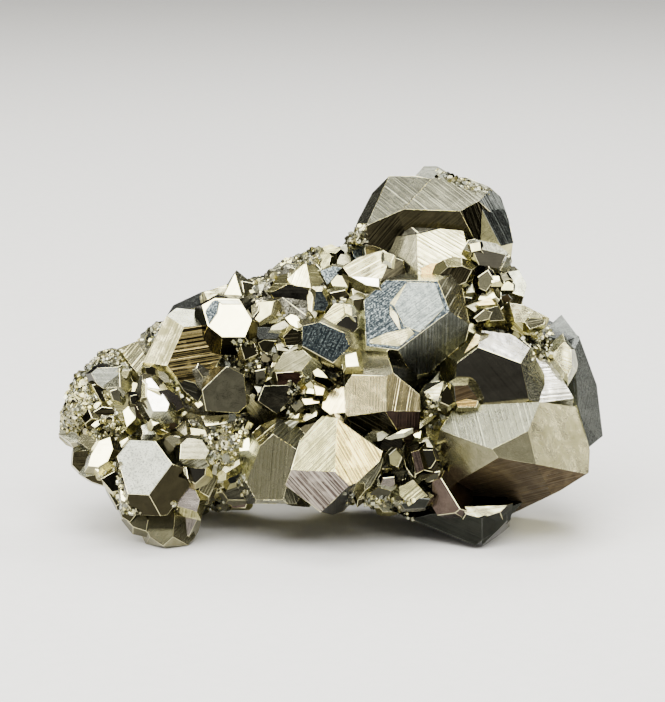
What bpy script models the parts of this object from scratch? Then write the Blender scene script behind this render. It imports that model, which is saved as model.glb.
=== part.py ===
"""Pyrite specimen: a cluster of intergrown crystals on a base of massive pyrite, 90 mm wide.

Every crystal is a convex solid made of flat faces. The large ones are drawn from their main face, as it
is seen from the front, and the planes behind its edges bend back by the angles of a pyritohedron. The
base is a chain of faceted lumps, and smaller crystals grow on it all round. All of them are joined in
one solid, which stands on four flats that are level with the ground.
"""

import math
import random
from dataclasses import dataclass, field

import bmesh
import bpy
from mathutils import Matrix, Vector

MM = 0.001

# Driving sizes
WIDTH = 90 * MM
WIDTH_IN_PIXELS = 548
PIXEL = WIDTH / WIDTH_IN_PIXELS

# The viewpoint that the outlines are drawn from
PICTURE_MIDDLE = (332.5, 351.0)
EYE_DISTANCE = 500 * MM
EYE_ELEVATION = math.radians(12)
AIM = Vector((0.0, 0.0, 30 * MM))

# The habit of the crystals
FACE_BEND = 60.0
THICKNESS_PER_WIDTH = 0.85
BACK_BEND = 48.0
BACK_REACH = 0.62

RIGHT = Vector((1.0, 0.0, 0.0))
TOWARD = Vector((0.0, -math.cos(EYE_ELEVATION), math.sin(EYE_ELEVATION)))
UP = Vector((0.0, math.sin(EYE_ELEVATION), math.cos(EYE_ELEVATION)))
EYE = AIM + TOWARD * EYE_DISTANCE


@dataclass
class Plane:
    """A flat face: a point on it and the direction that it looks in."""

    point: Vector
    normal: Vector

    def opposite(self, centre):
        """The parallel face on the other side of the crystal."""
        return Plane(2 * centre - self.point, -self.normal)


@dataclass
class Crystal:
    """A crystal drawn by its main face.

    near is how far the face's middle stands in front of the picture plane, in millimetres. lean and turn
    are the degrees that the face looks up and to the right. bends gives the angle at an outline edge where
    it isn't FACE_BEND. more adds faces that bend back from another face: (edge, pixel, pixel, bend).
    trims are faces seen edge-on from the front, each through two pixels. heart is the pixel behind which
    the crystal's centre lies, where it isn't behind the main face's middle, and thick is its size from
    front to back in millimetres.
    """

    name: str
    near: float
    lean: float
    turn: float
    outline: list
    bends: dict = field(default_factory=dict)
    more: tuple = ()
    trims: tuple = ()
    heart: tuple = None
    thick: float = None


def look(lean, turn):
    """The direction of a face that looks this many degrees up and to the right of the eye."""
    up, side = math.radians(lean), math.radians(turn)
    flat = math.cos(up)
    return RIGHT * (flat * math.sin(side)) + UP * math.sin(up) + TOWARD * (flat * math.cos(side))


def ray(pixel):
    """The direction from the eye through a pixel of the photograph."""
    across = (pixel[0] - PICTURE_MIDDLE[0]) * PIXEL
    above = (PICTURE_MIDDLE[1] - pixel[1]) * PIXEL
    return RIGHT * across + UP * above - TOWARD * EYE_DISTANCE


def seen_on(plane, pixel):
    """The point of a plane that is seen at a pixel."""
    way = ray(pixel)
    return EYE + way * ((plane.point - EYE).dot(plane.normal) / way.dot(plane.normal))


def bent_back(plane, start, end, bend, middle):
    """The plane that meets another along a line and turns back from it, away from the middle."""
    along = (end - start).normalized()
    outward = along.cross(plane.normal)
    if outward.dot(middle - start) > 0:
        outward = -outward
    angle = math.radians(bend)
    normal = plane.normal * math.cos(angle) + outward * math.sin(angle)
    return Plane(start, normal.normalized())


def planes_of(crystal):
    """All the faces of a crystal, the main one first, each with its opposite behind it."""
    count = len(crystal.outline)
    middle = (sum(p[0] for p in crystal.outline) / count, sum(p[1] for p in crystal.outline) / count)
    way = ray(middle)
    depth = (EYE_DISTANCE - crystal.near * MM) / EYE_DISTANCE
    main = Plane(EYE + way * depth, look(crystal.lean, crystal.turn))
    corners = [seen_on(main, p) for p in crystal.outline]
    width = 2 * sum((c - main.point).length for c in corners) / count
    thick = crystal.thick * MM if crystal.thick else width * THICKNESS_PER_WIDTH
    if crystal.heart:
        front = seen_on(Plane(main.point, TOWARD), crystal.heart)
        centre = front - TOWARD * (thick / 2)
    else:
        centre = main.point - main.normal * (thick / 2)
    planes = [main]
    for i, start in enumerate(corners):
        bend = crystal.bends.get(i, FACE_BEND)
        planes.append(bent_back(main, start, corners[(i + 1) % count], bend, main.point))
    for edge, first, last, bend in crystal.more:
        base = planes[edge + 1]
        planes.append(bent_back(base, seen_on(base, first), seen_on(base, last), bend, main.point))
    planes += [p.opposite(centre) for p in planes]
    reach = BACK_REACH * max(width, thick)
    for step in range(4):
        side = math.tau * (step + 0.5) / 4
        outward = RIGHT * math.cos(side) + UP * math.sin(side)
        slope = math.radians(BACK_BEND)
        normal = outward * math.sin(slope) - TOWARD * math.cos(slope)
        planes.append(Plane(centre + normal * reach, normal))
    for first, last in crystal.trims:
        normal = ray(first).cross(ray(last)).normalized()
        if normal.dot(centre - EYE) > 0:
            normal = -normal
        planes.append(Plane(EYE, normal))
    return planes


CRYSTALS = [
    Crystal("crown_left", -5, 48, -6, [(366, 226), (403, 209), (431, 179), (416, 176), (389, 176)],
            {0: 64, 1: 40, 2: 50, 3: 50, 4: 52}, heart=(408, 218), thick=12,
            trims=(((350, 240), (358, 220)), ((358, 220), (372, 193)), ((372, 193), (389, 176)))),
    Crystal("crown_right", -4.6, 46, 3, [(403, 209), (460, 211), (479, 201), (492, 187), (466, 177), (432, 178)],
            {0: 66, 1: 54, 2: 48, 3: 50, 4: 50, 5: 40}, heart=(452, 214), thick=14,
            trims=(((358, 222), (390, 176)), ((466, 177), (490, 187)), ((490, 187), (501, 197)), ((501, 197), (509, 220)),
                   ((509, 220), (514, 245)))),
    Crystal("crown_tip", -9, 45, -5, [(414, 177), (424, 166), (437, 166), (456, 177), (432, 182)], thick=5),
    Crystal("crown_heel", -8, 30, -40, [(342, 246), (351, 232), (364, 227), (366, 240), (352, 248)]),
    Crystal("bright_brow", 1, 12, 20, [(417, 234), (440, 229), (463, 231), (471, 262), (440, 280), (418, 279)]),
    Crystal("blue_plate", 8, 15, -12, [(364, 300), (386, 280), (438, 281), (450, 311), (398, 350), (366, 346)],
            {2: 62, 3: 55}),
    Crystal("pale_dome", 14, 8, -14, [(345, 386), (352, 375), (386, 376), (386, 411), (356, 428), (346, 415)],
            {0: 60, 1: 48, 2: 38, 3: 62, 4: 75, 5: 75}, more=((2, (397, 376), (421, 396), 50), (2, (388, 412), (425, 424), 65)),
            heart=(382, 400), thick=14),
    Crystal("striped_corner", 17, 22, -22, [(291, 470), (300, 440), (322, 416), (337, 418), (335, 472)],
            {3: 55, 4: 60}, more=((3, (338, 419), (384, 453), 50), (3, (386, 455), (350, 489), 70),
                                  (4, (282, 501), (312, 520), 60), (4, (313, 520), (345, 490), 60)),
            heart=(333, 466), thick=15),
    Crystal("great_corner", 13, 30, -25, [(455, 406), (540, 402), (528, 431), (492, 449), (440, 430)],
            {0: 70, 1: 60, 2: 38, 3: 58, 4: 75}, more=((1, (540, 465), (587, 474), 50), (2, (500, 458), (540, 465), 52)),
            heart=(530, 468), thick=24,
            trims=(((573, 398), (590, 450)), ((590, 450), (589, 470)), ((587, 474), (560, 491)),
                   ((560, 491), (518, 511)), ((500, 512), (448, 494)))),
    Crystal("dark_mirror", 9, -3, -6, [(457, 363), (478, 347), (521, 363), (529, 400), (516, 406), (480, 406),
                                       (455, 380)], {1: 50}),
    Crystal("scuffed_step", 5, 25, 30, [(523, 364), (535, 358), (552, 360), (574, 398), (541, 403), (529, 400)],
            thick=9),
    Crystal("grey_shoulder", -4, 5, 50, [(566, 341), (579, 336), (597, 385), (603, 436), (590, 448), (577, 405)],
            thick=14, trims=(((579, 336), (597, 380)), ((597, 380), (603, 436)), ((603, 436), (586, 450)),
                             ((545, 318), (579, 336)))),
    Crystal("pink_tab", 3, 12, 10, [(551, 355), (565, 341), (571, 349), (572, 366), (568, 377)], thick=4),
    Crystal("right_foot", 7, -22, -25, [(411, 519), (433, 514), (482, 518), (482, 548), (450, 535)],
            {1: 78, 2: 58}, more=((2, (483, 517), (520, 503), 78),), heart=(480, 516), thick=16,
            trims=(((411, 519), (482, 548)), ((482, 548), (498, 530)), ((498, 530), (548, 497)))),
    Crystal("mauve_slab", 9, -5, -30, [(432, 481), (441, 478), (460, 509), (455, 513), (432, 516)],
            {1: 80}),
    Crystal("tan_gem", 10, 10, 10, [(399, 487), (413, 480), (428, 496), (410, 501), (400, 498)]),
    Crystal("mauve_gem", 9, -5, 15, [(413, 450), (424, 447), (437, 458), (439, 471), (421, 481)]),
    Crystal("pale_bead", 11, 0, 0, [(389, 455), (396, 450), (402, 457), (398, 467), (390, 464)]),
    Crystal("dark_chip", 10, -20, 0, [(365, 497), (378, 487), (392, 491), (385, 504), (368, 505)]),
    Crystal("olive_panel", 13, 0, -12, [(273, 434), (296, 449), (283, 500), (256, 500), (246, 482), (260, 446)],
            trims=(((246, 504), (290, 504)),)),
    Crystal("silver_hexagon", 12, 22, -12, [(130, 440), (155, 441), (172, 464), (149, 495), (128, 494),
                                            (117, 456)], thick=9),
    Crystal("grey_chip", 2, 30, -25, [(95, 375), (101, 368), (119, 366), (120, 387), (105, 388)]),
    Crystal("striped_fan", 4, -2, 12, [(184, 327), (207, 325), (225, 350), (202, 391), (184, 386), (167, 366)],
            {5: 50}),
    Crystal("pale_triangle", 0, 30, -25, [(118, 348), (137, 341), (150, 364), (141, 378)]),
    Crystal("slate", 10, -8, 4, [(227, 366), (244, 375), (247, 405), (238, 413), (206, 411), (202, 390)]),
    Crystal("small_slate", 10, -5, 0, [(264, 386), (289, 385), (295, 392), (277, 414), (258, 401)]),
    Crystal("blue_scratched", 9, 6, -10, [(302, 326), (320, 322), (345, 333), (350, 347), (333, 363), (302, 346)]),
    Crystal("sun_face", 6, 20, -8, [(202, 305), (215, 298), (239, 299), (252, 320), (245, 337), (222, 337),
                                    (208, 326)]),
    Crystal("spike", -1, 20, -15, [(222, 299), (235, 273), (243, 300)], {1: 55}),
    Crystal("white_strip", -2, 45, -10, [(204, 292), (227, 284), (226, 297), (207, 299)]),
    Crystal("back_grey", -6, 25, -40, [(164, 320), (173, 305), (201, 292), (201, 303), (182, 317)]),
    Crystal("nook", -1, 0, 0, [(184, 317), (199, 309), (200, 321), (187, 322)]),
    Crystal("dark_block", 3, -5, -5, [(270, 293), (288, 284), (311, 288), (308, 313), (286, 315)]),
    Crystal("grey_roof", -3, 45, -20, [(256, 284), (279, 262), (300, 264), (291, 277), (268, 291)]),
    Crystal("bright_wedge", 3, 15, -15, [(287, 279), (306, 262), (311, 288), (291, 285)], {1: 40}),
    Crystal("blue_grey", 1, 20, -10, [(320, 271), (333, 266), (345, 268), (341, 290), (330, 291)]),
    Crystal("bright_blade", 4, 30, -15, [(343, 267), (357, 258), (383, 250), (391, 256), (378, 287), (350, 277)]),
    Crystal("small_blue", 6, 0, 10, [(316, 291), (322, 291), (329, 304), (325, 311), (313, 311)]),
    Crystal("tan_plate", 7, 25, -15, [(321, 320), (335, 303), (350, 305), (349, 314), (334, 326)]),
    Crystal("pale_gem", 5, 15, -10, [(256, 300), (270, 301), (268, 316), (254, 319)], {1: 45}),
    Crystal("grey_trapezoid", 5, -5, 0, [(252, 329), (264, 326), (291, 324), (277, 339), (258, 340)]),
    Crystal("ridge", 8, 20, -15, [(272, 372), (283, 353), (303, 350), (312, 358), (301, 371)]),
    Crystal("white_heart", 9, 10, -5, [(144, 379), (150, 382), (169, 411), (150, 415), (143, 398)], {1: 40}),
    Crystal("olive_cap", 12, 15, -5, [(181, 444), (187, 438), (202, 440), (209, 451), (205, 459), (180, 459)]),
    Crystal("broken_ledge", 7, 25, -5, [(188, 420), (245, 413), (250, 425), (232, 460), (214, 462)]),
    Crystal("pink_gem", 9, 10, 5, [(184, 485), (194, 487), (200, 500), (197, 512), (177, 506)]),
    Crystal("left_foot", 6, 0, -10, [(145, 512), (170, 497), (176, 515), (172, 531), (151, 533)], {3: 45}, thick=6,
            trims=(((128, 523), (162, 545)), ((163, 546), (180, 537)))),
    Crystal("left_tab", 3, 10, -20, [(77, 441), (85, 431), (96, 430), (97, 443), (90, 450)]),
    Crystal("left_wedge", 8, 20, -10, [(98, 442), (112, 440), (111, 456), (98, 472), (88, 463)]),
    Crystal("left_dark", 2, -5, -20, [(73, 452), (88, 450), (90, 465), (80, 473), (72, 465)]),
    Crystal("black_gem", 2, -10, 15, [(474, 253), (480, 249), (506, 255), (499, 269), (479, 265)]),
    Crystal("olive_gem", 3, 0, 0, [(478, 277), (488, 270), (494, 280), (486, 291), (479, 288)]),
    Crystal("right_chip", -2, 10, 35, [(503, 290), (506, 272), (519, 270), (527, 285), (524, 297)]),
    Crystal("white_point", 3, 30, 10, [(510, 303), (524, 305), (546, 316), (531, 321), (515, 322)]),
    Crystal("olive_chip", 5, 5, 20, [(486, 309), (498, 306), (505, 320), (490, 321)]),
    Crystal("yellow_chip", 4, 40, 0, [(476, 303), (490, 297), (497, 306), (486, 309)]),
    Crystal("pale_kite", 12, 10, 10, [(424, 392), (444, 381), (438, 401), (432, 400)]),
    Crystal("orange_chip", 11, -10, 5, [(454, 386), (468, 385), (479, 400), (472, 406), (456, 405)]),
    Crystal("white_tile", 13, 15, -5, [(345, 355), (356, 352), (359, 366), (346, 367)]),
]


# The base, as lumps: centre and half sizes in millimetres
CORE = [
    ("left_lump", (-22, 7, 22), (13, 12, 12)),
    ("left_end", (-37, 5, 20), (6, 8, 7)),
    ("low_left", (-22, 5, 13), (12, 11, 9)),
    ("middle_lump", (-4, 7, 27), (17, 13, 15)),
    ("low_middle", (4, 5, 14), (18, 11, 9)),
    ("right_lump", (26, 6, 24), (12, 12, 12)),
    ("neck", (24, 9, 38), (5, 7, 8)),
    ("crown_lump", (15, 11, 43), (8, 7, 8)),
]
LUMP_FACES = 34

# The seen outline, which nothing that grows on the base goes past
OUTLINE = [
    (55, 435), (63, 405), (70, 380), (88, 365), (95, 350), (120, 345), (135, 340), (153, 326), (165, 318),
    (175, 304), (200, 292), (227, 283), (253, 284), (278, 262), (300, 250), (343, 245), (351, 232), (357, 222),
    (375, 190), (389, 176), (415, 176), (430, 168), (455, 176), (490, 187), (500, 196), (507, 215), (514, 243),
    (511, 266), (520, 270), (527, 297), (545, 315), (566, 330), (579, 336), (590, 362), (597, 385), (603, 436),
    (588, 448), (590, 462), (587, 474), (545, 498), (520, 512), (500, 528), (483, 548), (450, 535), (411, 519),
    (370, 508), (345, 505), (312, 520), (282, 503), (245, 505), (205, 515), (193, 537), (163, 545), (128, 523),
    (107, 502), (95, 482), (82, 470), (73, 450),
]


def pixel_of(point):
    """The pixel that a point is seen at."""
    way = point - EYE
    scale = EYE_DISTANCE / -way.dot(TOWARD)
    return (PICTURE_MIDDLE[0] + way.dot(RIGHT) * scale / PIXEL, PICTURE_MIDDLE[1] - way.dot(UP) * scale / PIXEL)


def room_at(pixel):
    """How far a pixel lies inside the seen outline, in pixels, or less than nought outside it."""
    x, y = pixel
    inside = False
    nearest = math.inf
    for i, (ax, ay) in enumerate(OUTLINE):
        bx, by = OUTLINE[i - 1]
        if (ay > y) != (by > y) and x < (bx - ax) * (y - ay) / (by - ay) + ax:
            inside = not inside
        along = ((x - ax) * (bx - ax) + (y - ay) * (by - ay)) / ((bx - ax) ** 2 + (by - ay) ** 2)
        along = min(max(along, 0.0), 1.0)
        nearest = min(nearest, math.hypot(x - ax - along * (bx - ax), y - ay - along * (by - ay)))
    return nearest if inside else -nearest


def even_directions(count):
    """Directions spread evenly over a sphere."""
    golden = math.pi * (3 - math.sqrt(5))
    directions = []
    for i in range(count):
        z = 1 - (2 * i + 1) / count
        flat = math.sqrt(1 - z * z)
        directions.append(Vector((flat * math.cos(golden * i), flat * math.sin(golden * i), z)))
    return directions


def lump(centre, half):
    """A rounded lump of flat faces that touch an ellipsoid."""
    middle = Vector(centre) * MM
    planes = []
    for way in even_directions(LUMP_FACES):
        touch = Vector((way.x * half[0], way.y * half[1], way.z * half[2])) * MM
        normal = Vector((way.x / half[0], way.y / half[1], way.z / half[2])).normalized()
        planes.append(Plane(middle + touch, normal))
    return planes


def pyritohedron(centre, radius, spin, chance):
    """A crystal of twelve faces, some of them set back a little so that no two crystals are alike."""
    planes = []
    for axis in range(3):
        for long in (-2, 2):
            for short in (-1, 1):
                way = [0, 0, 0]
                way[axis] = long
                way[(axis + 1) % 3] = short
                normal = (spin @ Vector(way)).normalized()
                planes.append(Plane(centre + normal * (radius * chance.uniform(0.78, 0.95)), normal))
    for axis in range(3):
        for side in (-1, 1):
            way = [0, 0, 0]
            way[axis] = side
            normal = (spin @ Vector(way)).normalized()
            planes.append(Plane(centre + normal * (radius * chance.uniform(0.88, 1.0)), normal))
    return planes


def any_spin(chance):
    """A turn to any attitude."""
    return (Matrix.Rotation(chance.uniform(0, math.tau), 3, "Z")
            @ Matrix.Rotation(math.acos(chance.uniform(-1, 1)), 3, "X")
            @ Matrix.Rotation(chance.uniform(0, math.tau), 3, "Z"))


# The feet behind, where they stand on the ground and their radii, in millimetres
BACK_FEET = [
    ("back_left_foot", (-25.5, 9.0), 5.6),
    ("back_right_foot", (23.4, 14.0), 7.5),
]
FOOT_HEIGHT = 0.72

# What grows on the base: how many on each lump, the least and the greatest radius in millimetres, the share
# of the radius that stands out of the base, and the seed
GROWTHS = [
    ("large", 14, 5.5, 8.5, 0.1, 11),
    ("medium", 20, 3.2, 5.5, 0.3, 23),
    ("small", 26, 1.6, 3.0, 0.5, 37),
]
GRANULAR = "left_end"
LOWEST = 1.5 * MM
LEAST_SHARE = 0.8


def entry(planes, way):
    """How far along a ray from the eye a solid begins, as a share of the ray, or infinity if it misses."""
    first, last = 0.0, math.inf
    for plane in planes:
        speed = way.dot(plane.normal)
        gap = (plane.point - EYE).dot(plane.normal)
        if abs(speed) < 1e-12:
            if gap < 0:
                return math.inf
        elif speed < 0:
            first = max(first, gap / speed)
        else:
            last = min(last, gap / speed)
    return first if first < last else math.inf


def hides(point, radius, drawn):
    """Whether a round thing of this radius would stand in front of a drawn crystal."""
    spots = [point]
    for i in range(6):
        angle = math.tau * i / 6
        spots.append(point + (RIGHT * math.cos(angle) + UP * math.sin(angle)) * (radius * 0.8))
    for spot in spots:
        way = spot - EYE
        reach = 1 - radius * 0.6 / way.length
        for planes in drawn:
            start = entry(planes, way)
            if reach < start < math.inf:
                return True
    return False


def grown(drawn):
    """The crystals that grow on the base all round.

    They keep inside the seen outline, off the ground, and out of the way of the drawn crystals.
    """
    bodies = []
    for name, count, least, most, out, seed in GROWTHS:
        chance = random.Random(seed)
        for k, (where, centre, half) in enumerate(CORE):
            if where == GRANULAR and name == "large":
                continue
            for i, way in enumerate(even_directions(count)):
                radius = chance.uniform(least, most) * MM
                spin = any_spin(chance)
                sway = Vector([chance.uniform(-0.15, 0.15) for _ in range(3)])
                way = (Matrix.Rotation(seed + k, 3, "Z") @ way + sway).normalized()
                touch = Vector([c + w * h for c, w, h in zip(centre, way, half)]) * MM
                point = touch + way * (radius * (out - 0.5))
                if inside_core(touch, k):
                    continue
                radius = min(radius, room_at(pixel_of(point)) * PIXEL, point.z - LOWEST)
                if radius < least * MM * LEAST_SHARE or hides(point, radius, drawn):
                    continue
                bodies.append((f"{name}_{where}_{i}", pyritohedron(point, radius, spin, chance)))
    return bodies


def inside_core(point, but):
    """Whether a point lies well inside a lump of the base other than one of them."""
    for k, (_, centre, half) in enumerate(CORE):
        if k == but:
            continue
        away = [(p / MM - c) / h for p, c, h in zip(point, centre, half)]
        if sum(a * a for a in away) < 0.8:
            return True
    return False


def feet():
    """The crystals under the back of the specimen, which dip below the ground and are cut off by it."""
    chance = random.Random(5)
    bodies = []
    for name, (x, y), radius in BACK_FEET:
        middle = Vector((x, y, radius * FOOT_HEIGHT)) * MM
        bodies.append((name, pyritohedron(middle, radius * MM, any_spin(chance), chance)))
    return bodies


def all_bodies():
    """Every convex solid of the specimen: its name and its faces."""
    drawn = [(c.name, planes_of(c)) for c in CRYSTALS]
    core = [(name, lump(centre, half)) for name, centre, half in CORE]
    return drawn + core + feet() + grown([planes for _, planes in drawn])


# How the solids are made
BLANK = 90 * MM
MERGE = 0.01 * MM
GROUND_BLOCK = 0.2


def solid_of(name, planes):
    """A block cut down to the inside of its faces."""
    shape = bmesh.new()
    bmesh.ops.create_cube(shape, size=BLANK)
    middle = sum((p.point for p in planes if p.point != EYE), Vector()) / len(planes)
    bmesh.ops.translate(shape, verts=shape.verts, vec=middle)
    for plane in planes:
        every = shape.verts[:] + shape.edges[:] + shape.faces[:]
        cut = bmesh.ops.bisect_plane(shape, geom=every, dist=MERGE / 10, plane_co=plane.point,
                                     plane_no=plane.normal, clear_outer=True)
        rim = [e for e in cut["geom_cut"] if isinstance(e, bmesh.types.BMEdge)]
        if rim:
            bmesh.ops.edgeloop_fill(shape, edges=rim)
    bmesh.ops.remove_doubles(shape, verts=shape.verts, dist=MERGE)
    bmesh.ops.dissolve_limit(shape, angle_limit=math.radians(0.2), verts=shape.verts, edges=shape.edges)
    bmesh.ops.recalc_face_normals(shape, faces=shape.faces)
    mesh = bpy.data.meshes.new(name)
    shape.to_mesh(mesh)
    shape.free()
    body = bpy.data.objects.new(name, mesh)
    return body


def joined(body, others, operation):
    """The mesh of a body after a Boolean operation with a collection of others."""
    change = body.modifiers.new("join", "BOOLEAN")
    change.operation = operation
    change.solver = "EXACT"
    change.operand_type = "COLLECTION"
    change.collection = others
    bpy.context.view_layer.update()
    graph = bpy.context.evaluated_depsgraph_get()
    mesh = bpy.data.meshes.new_from_object(body.evaluated_get(graph))
    body.modifiers.clear()
    return mesh


def largest_shell(shape):
    """The faces of the largest connected surface of a shape."""
    seen = set()
    largest = []
    for start in shape.faces:
        if start in seen:
            continue
        shell = [start]
        seen.add(start)
        for face in shell:
            for edge in face.edges:
                for other in edge.link_faces:
                    if other not in seen:
                        seen.add(other)
                        shell.append(other)
        if len(shell) > len(largest):
            largest = shell
    return set(largest)


def tidy(mesh):
    """Merge what lies closer than MERGE and fill the hollows that were closed in between the crystals."""
    shape = bmesh.new()
    shape.from_mesh(mesh)
    bmesh.ops.remove_doubles(shape, verts=shape.verts, dist=MERGE)
    bmesh.ops.dissolve_degenerate(shape, edges=shape.edges, dist=MERGE)
    outside = largest_shell(shape)
    hollows = [f for f in shape.faces if f not in outside]
    bmesh.ops.delete(shape, geom=hollows, context="FACES")
    shape.to_mesh(mesh)
    shape.free()


def ground():
    """A block whose top is the ground."""
    shape = bmesh.new()
    bmesh.ops.create_cube(shape, size=GROUND_BLOCK)
    bmesh.ops.translate(shape, verts=shape.verts, vec=(0, 0, -GROUND_BLOCK / 2))
    mesh = bpy.data.meshes.new("ground")
    shape.to_mesh(mesh)
    shape.free()
    return bpy.data.objects.new("ground", mesh)


def pyrite():
    """The finish of a pyrite crystal: pale brass-yellow, metallic and bright."""
    material = bpy.data.materials.new("pyrite")
    material.use_nodes = True
    shader = material.node_tree.nodes["Principled BSDF"]
    shader.inputs["Base Color"].default_value = (0.62, 0.55, 0.38, 1)
    shader.inputs["Metallic"].default_value = 1
    shader.inputs["Roughness"].default_value = 0.3
    return material


def main():
    """Build the specimen as one solid that stands on the ground, with its middle over the origin."""
    for thing in list(bpy.data.objects):
        bpy.data.objects.remove(thing)
    solids = [solid_of(name, planes) for name, planes in all_bodies()]
    cluster = solids[0]
    cluster.name = "pyrite_cluster"
    bpy.context.scene.collection.objects.link(cluster)
    others = bpy.data.collections.new("others")
    for solid in solids[1:]:
        others.objects.link(solid)
    cluster.data = joined(cluster, others, "UNION")
    below = bpy.data.collections.new("below")
    below.objects.link(ground())
    cluster.data = joined(cluster, below, "DIFFERENCE")
    tidy(cluster.data)
    corners = [v.co for v in cluster.data.vertices]
    middle_x = (min(c.x for c in corners) + max(c.x for c in corners)) / 2
    middle_y = (min(c.y for c in corners) + max(c.y for c in corners)) / 2
    cluster.data.transform(Matrix.Translation((-middle_x, -middle_y, 0)))
    cluster.data.materials.clear()
    cluster.data.materials.append(pyrite())
    for solid in solids[1:] + list(below.objects):
        bpy.data.objects.remove(solid)


if __name__ == "__main__":
    main()
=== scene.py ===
"""Pyrite specimen: a cluster of intergrown crystals with striated faces, on a base of granular pyrite.

The crystals are the same convex solids as in the CAD model. Here their faces get growth steps, their edges
a fine bevel whose pale colour paints a highlight, and each face the finish that it shows, whose colour
paints the light and shade that the face reflects as well as its tarnish. Small crystals fill the gaps
between them, some of them pale slivers that paint highlights, and grains cover the base.
"""

import itertools
import math
import random
from dataclasses import dataclass, field

import bmesh
import bpy
import numpy as np
from mathutils import Matrix, Quaternion, Vector
from mathutils.bvhtree import BVHTree


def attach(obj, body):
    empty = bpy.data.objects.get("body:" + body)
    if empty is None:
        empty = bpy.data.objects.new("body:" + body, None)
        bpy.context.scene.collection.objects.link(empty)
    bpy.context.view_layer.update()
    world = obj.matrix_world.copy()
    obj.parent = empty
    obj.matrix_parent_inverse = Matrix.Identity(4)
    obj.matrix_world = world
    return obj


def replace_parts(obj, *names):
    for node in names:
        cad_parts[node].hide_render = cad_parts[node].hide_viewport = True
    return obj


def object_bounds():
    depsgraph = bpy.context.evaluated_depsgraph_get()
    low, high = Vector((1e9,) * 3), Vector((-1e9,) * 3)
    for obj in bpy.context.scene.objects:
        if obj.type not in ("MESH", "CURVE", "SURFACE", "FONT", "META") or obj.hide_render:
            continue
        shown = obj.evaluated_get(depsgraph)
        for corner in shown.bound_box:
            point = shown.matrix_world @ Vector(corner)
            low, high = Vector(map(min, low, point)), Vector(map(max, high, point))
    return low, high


bl_info = {
    "name": "Pyrite specimen",
    "version": (1, 0, 0),
    "blender": (4, 5, 0),
    "location": "View3D > Sidebar > Pyrite",
    "description": "Builds a cluster of pyrite crystals, its granular base and a plain studio",
    "category": "Add Mesh",
}

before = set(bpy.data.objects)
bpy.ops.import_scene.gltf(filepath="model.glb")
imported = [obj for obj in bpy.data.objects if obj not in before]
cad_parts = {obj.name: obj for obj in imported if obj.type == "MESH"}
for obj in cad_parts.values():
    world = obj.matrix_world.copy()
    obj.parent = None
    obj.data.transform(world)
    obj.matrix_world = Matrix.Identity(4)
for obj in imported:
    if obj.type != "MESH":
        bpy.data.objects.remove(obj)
CAD_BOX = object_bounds()
NODE = "pyrite_cluster"
BODY = "root"

MM = 0.001

# The specimen's width, as a real size and in the picture, which gives every other size
WIDTH = 90 * MM
WIDTH_IN_PIXELS = 548
PIXEL = WIDTH / WIDTH_IN_PIXELS

# The viewpoint that the outlines are drawn from
PICTURE_SIZE = (665, 702)
PICTURE_MIDDLE = (332.5, 351.0)
EYE_DISTANCE = 500 * MM
EYE_ELEVATION = math.radians(12)
AIM = Vector((0.0, 0.0, 30 * MM))

RIGHT = Vector((1.0, 0.0, 0.0))
TOWARD = Vector((0.0, -math.cos(EYE_ELEVATION), math.sin(EYE_ELEVATION)))
UP = Vector((0.0, math.sin(EYE_ELEVATION), math.cos(EYE_ELEVATION)))
EYE = AIM + TOWARD * EYE_DISTANCE

# The habit of the crystals: the angle at which a face bends back at an outline edge, the size from front to
# back as a share of the width, and the slope and the distance of the four faces that close the back
FACE_BEND = 60.0
THICKNESS_PER_WIDTH = 0.85
BACK_BEND = 48.0
BACK_REACH = 0.62
BACK_FACES = 4

# How far the faces of a guessed crystal lie from its centre, least and most, in radii: the twelve main ones
# and the six that blunt its edges
MAIN_FACES = (0.78, 0.95)
CUBE_FACES = (0.88, 1.0)

# Corners nearer than MERGE are one, and faces smaller than LEAST_STEPPED get no growth steps
MERGE = 0.01 * MM
LEAST_STEPPED = 2 * MM * MM

# How far a crystal in a gap stands in front of what is behind it, how much its lean and turn vary, and how
# far a growth layer stands out of its face and how thick it is, in millimetres and degrees
STAND_OUT = 0.5
LEAN_SPREAD = 5
TURN_SPREAD = 8
LAYER_HEIGHT = 0.12
LAYER_THICKNESS = 1.5

# The seeds of the random draws
SEEDS = {"feet": 5, "crystals": 7, "gaps": 29, "grain_shapes": 3, "grains": 19}

# The studio: the room's colour at the level of the eye and overhead, and its strength
ROOM_LOW = "#2E2D2B"
ROOM_HIGH = "#B9B8B4"
ROOM_STRENGTH = 0.6

# The soft lights: name, place and size in metres, and power in watts
LIGHTS = [
    ("front", (-0.1, -0.55, 0.75), (1.1, 0.55), 24.0),
    ("card", (0.0, -1.0, 0.33), (1.5, 0.5), 1.8),
    ("left", (-0.7, -0.15, 0.35), (0.25, 0.5), 5.0),
    ("right", (0.7, -0.05, 0.3), (0.2, 0.4), 4.0),
    ("back", (0.1, 0.5, 0.6), (0.6, 0.25), 5.0),
    ("top", (0.0, 0.0, 0.9), (0.6, 0.4), 9.0),
]

# The camera's sensor in millimetres, and how near it begins to see
SENSOR = 36.0
NEAREST_SEEN = 10 * MM


@dataclass
class Plane:
    """A flat face: a point on it and the direction that it looks in."""

    point: Vector
    normal: Vector

    def opposite(self, centre):
        """The parallel face on the other side of the crystal."""
        return Plane(2 * centre - self.point, -self.normal)


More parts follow.
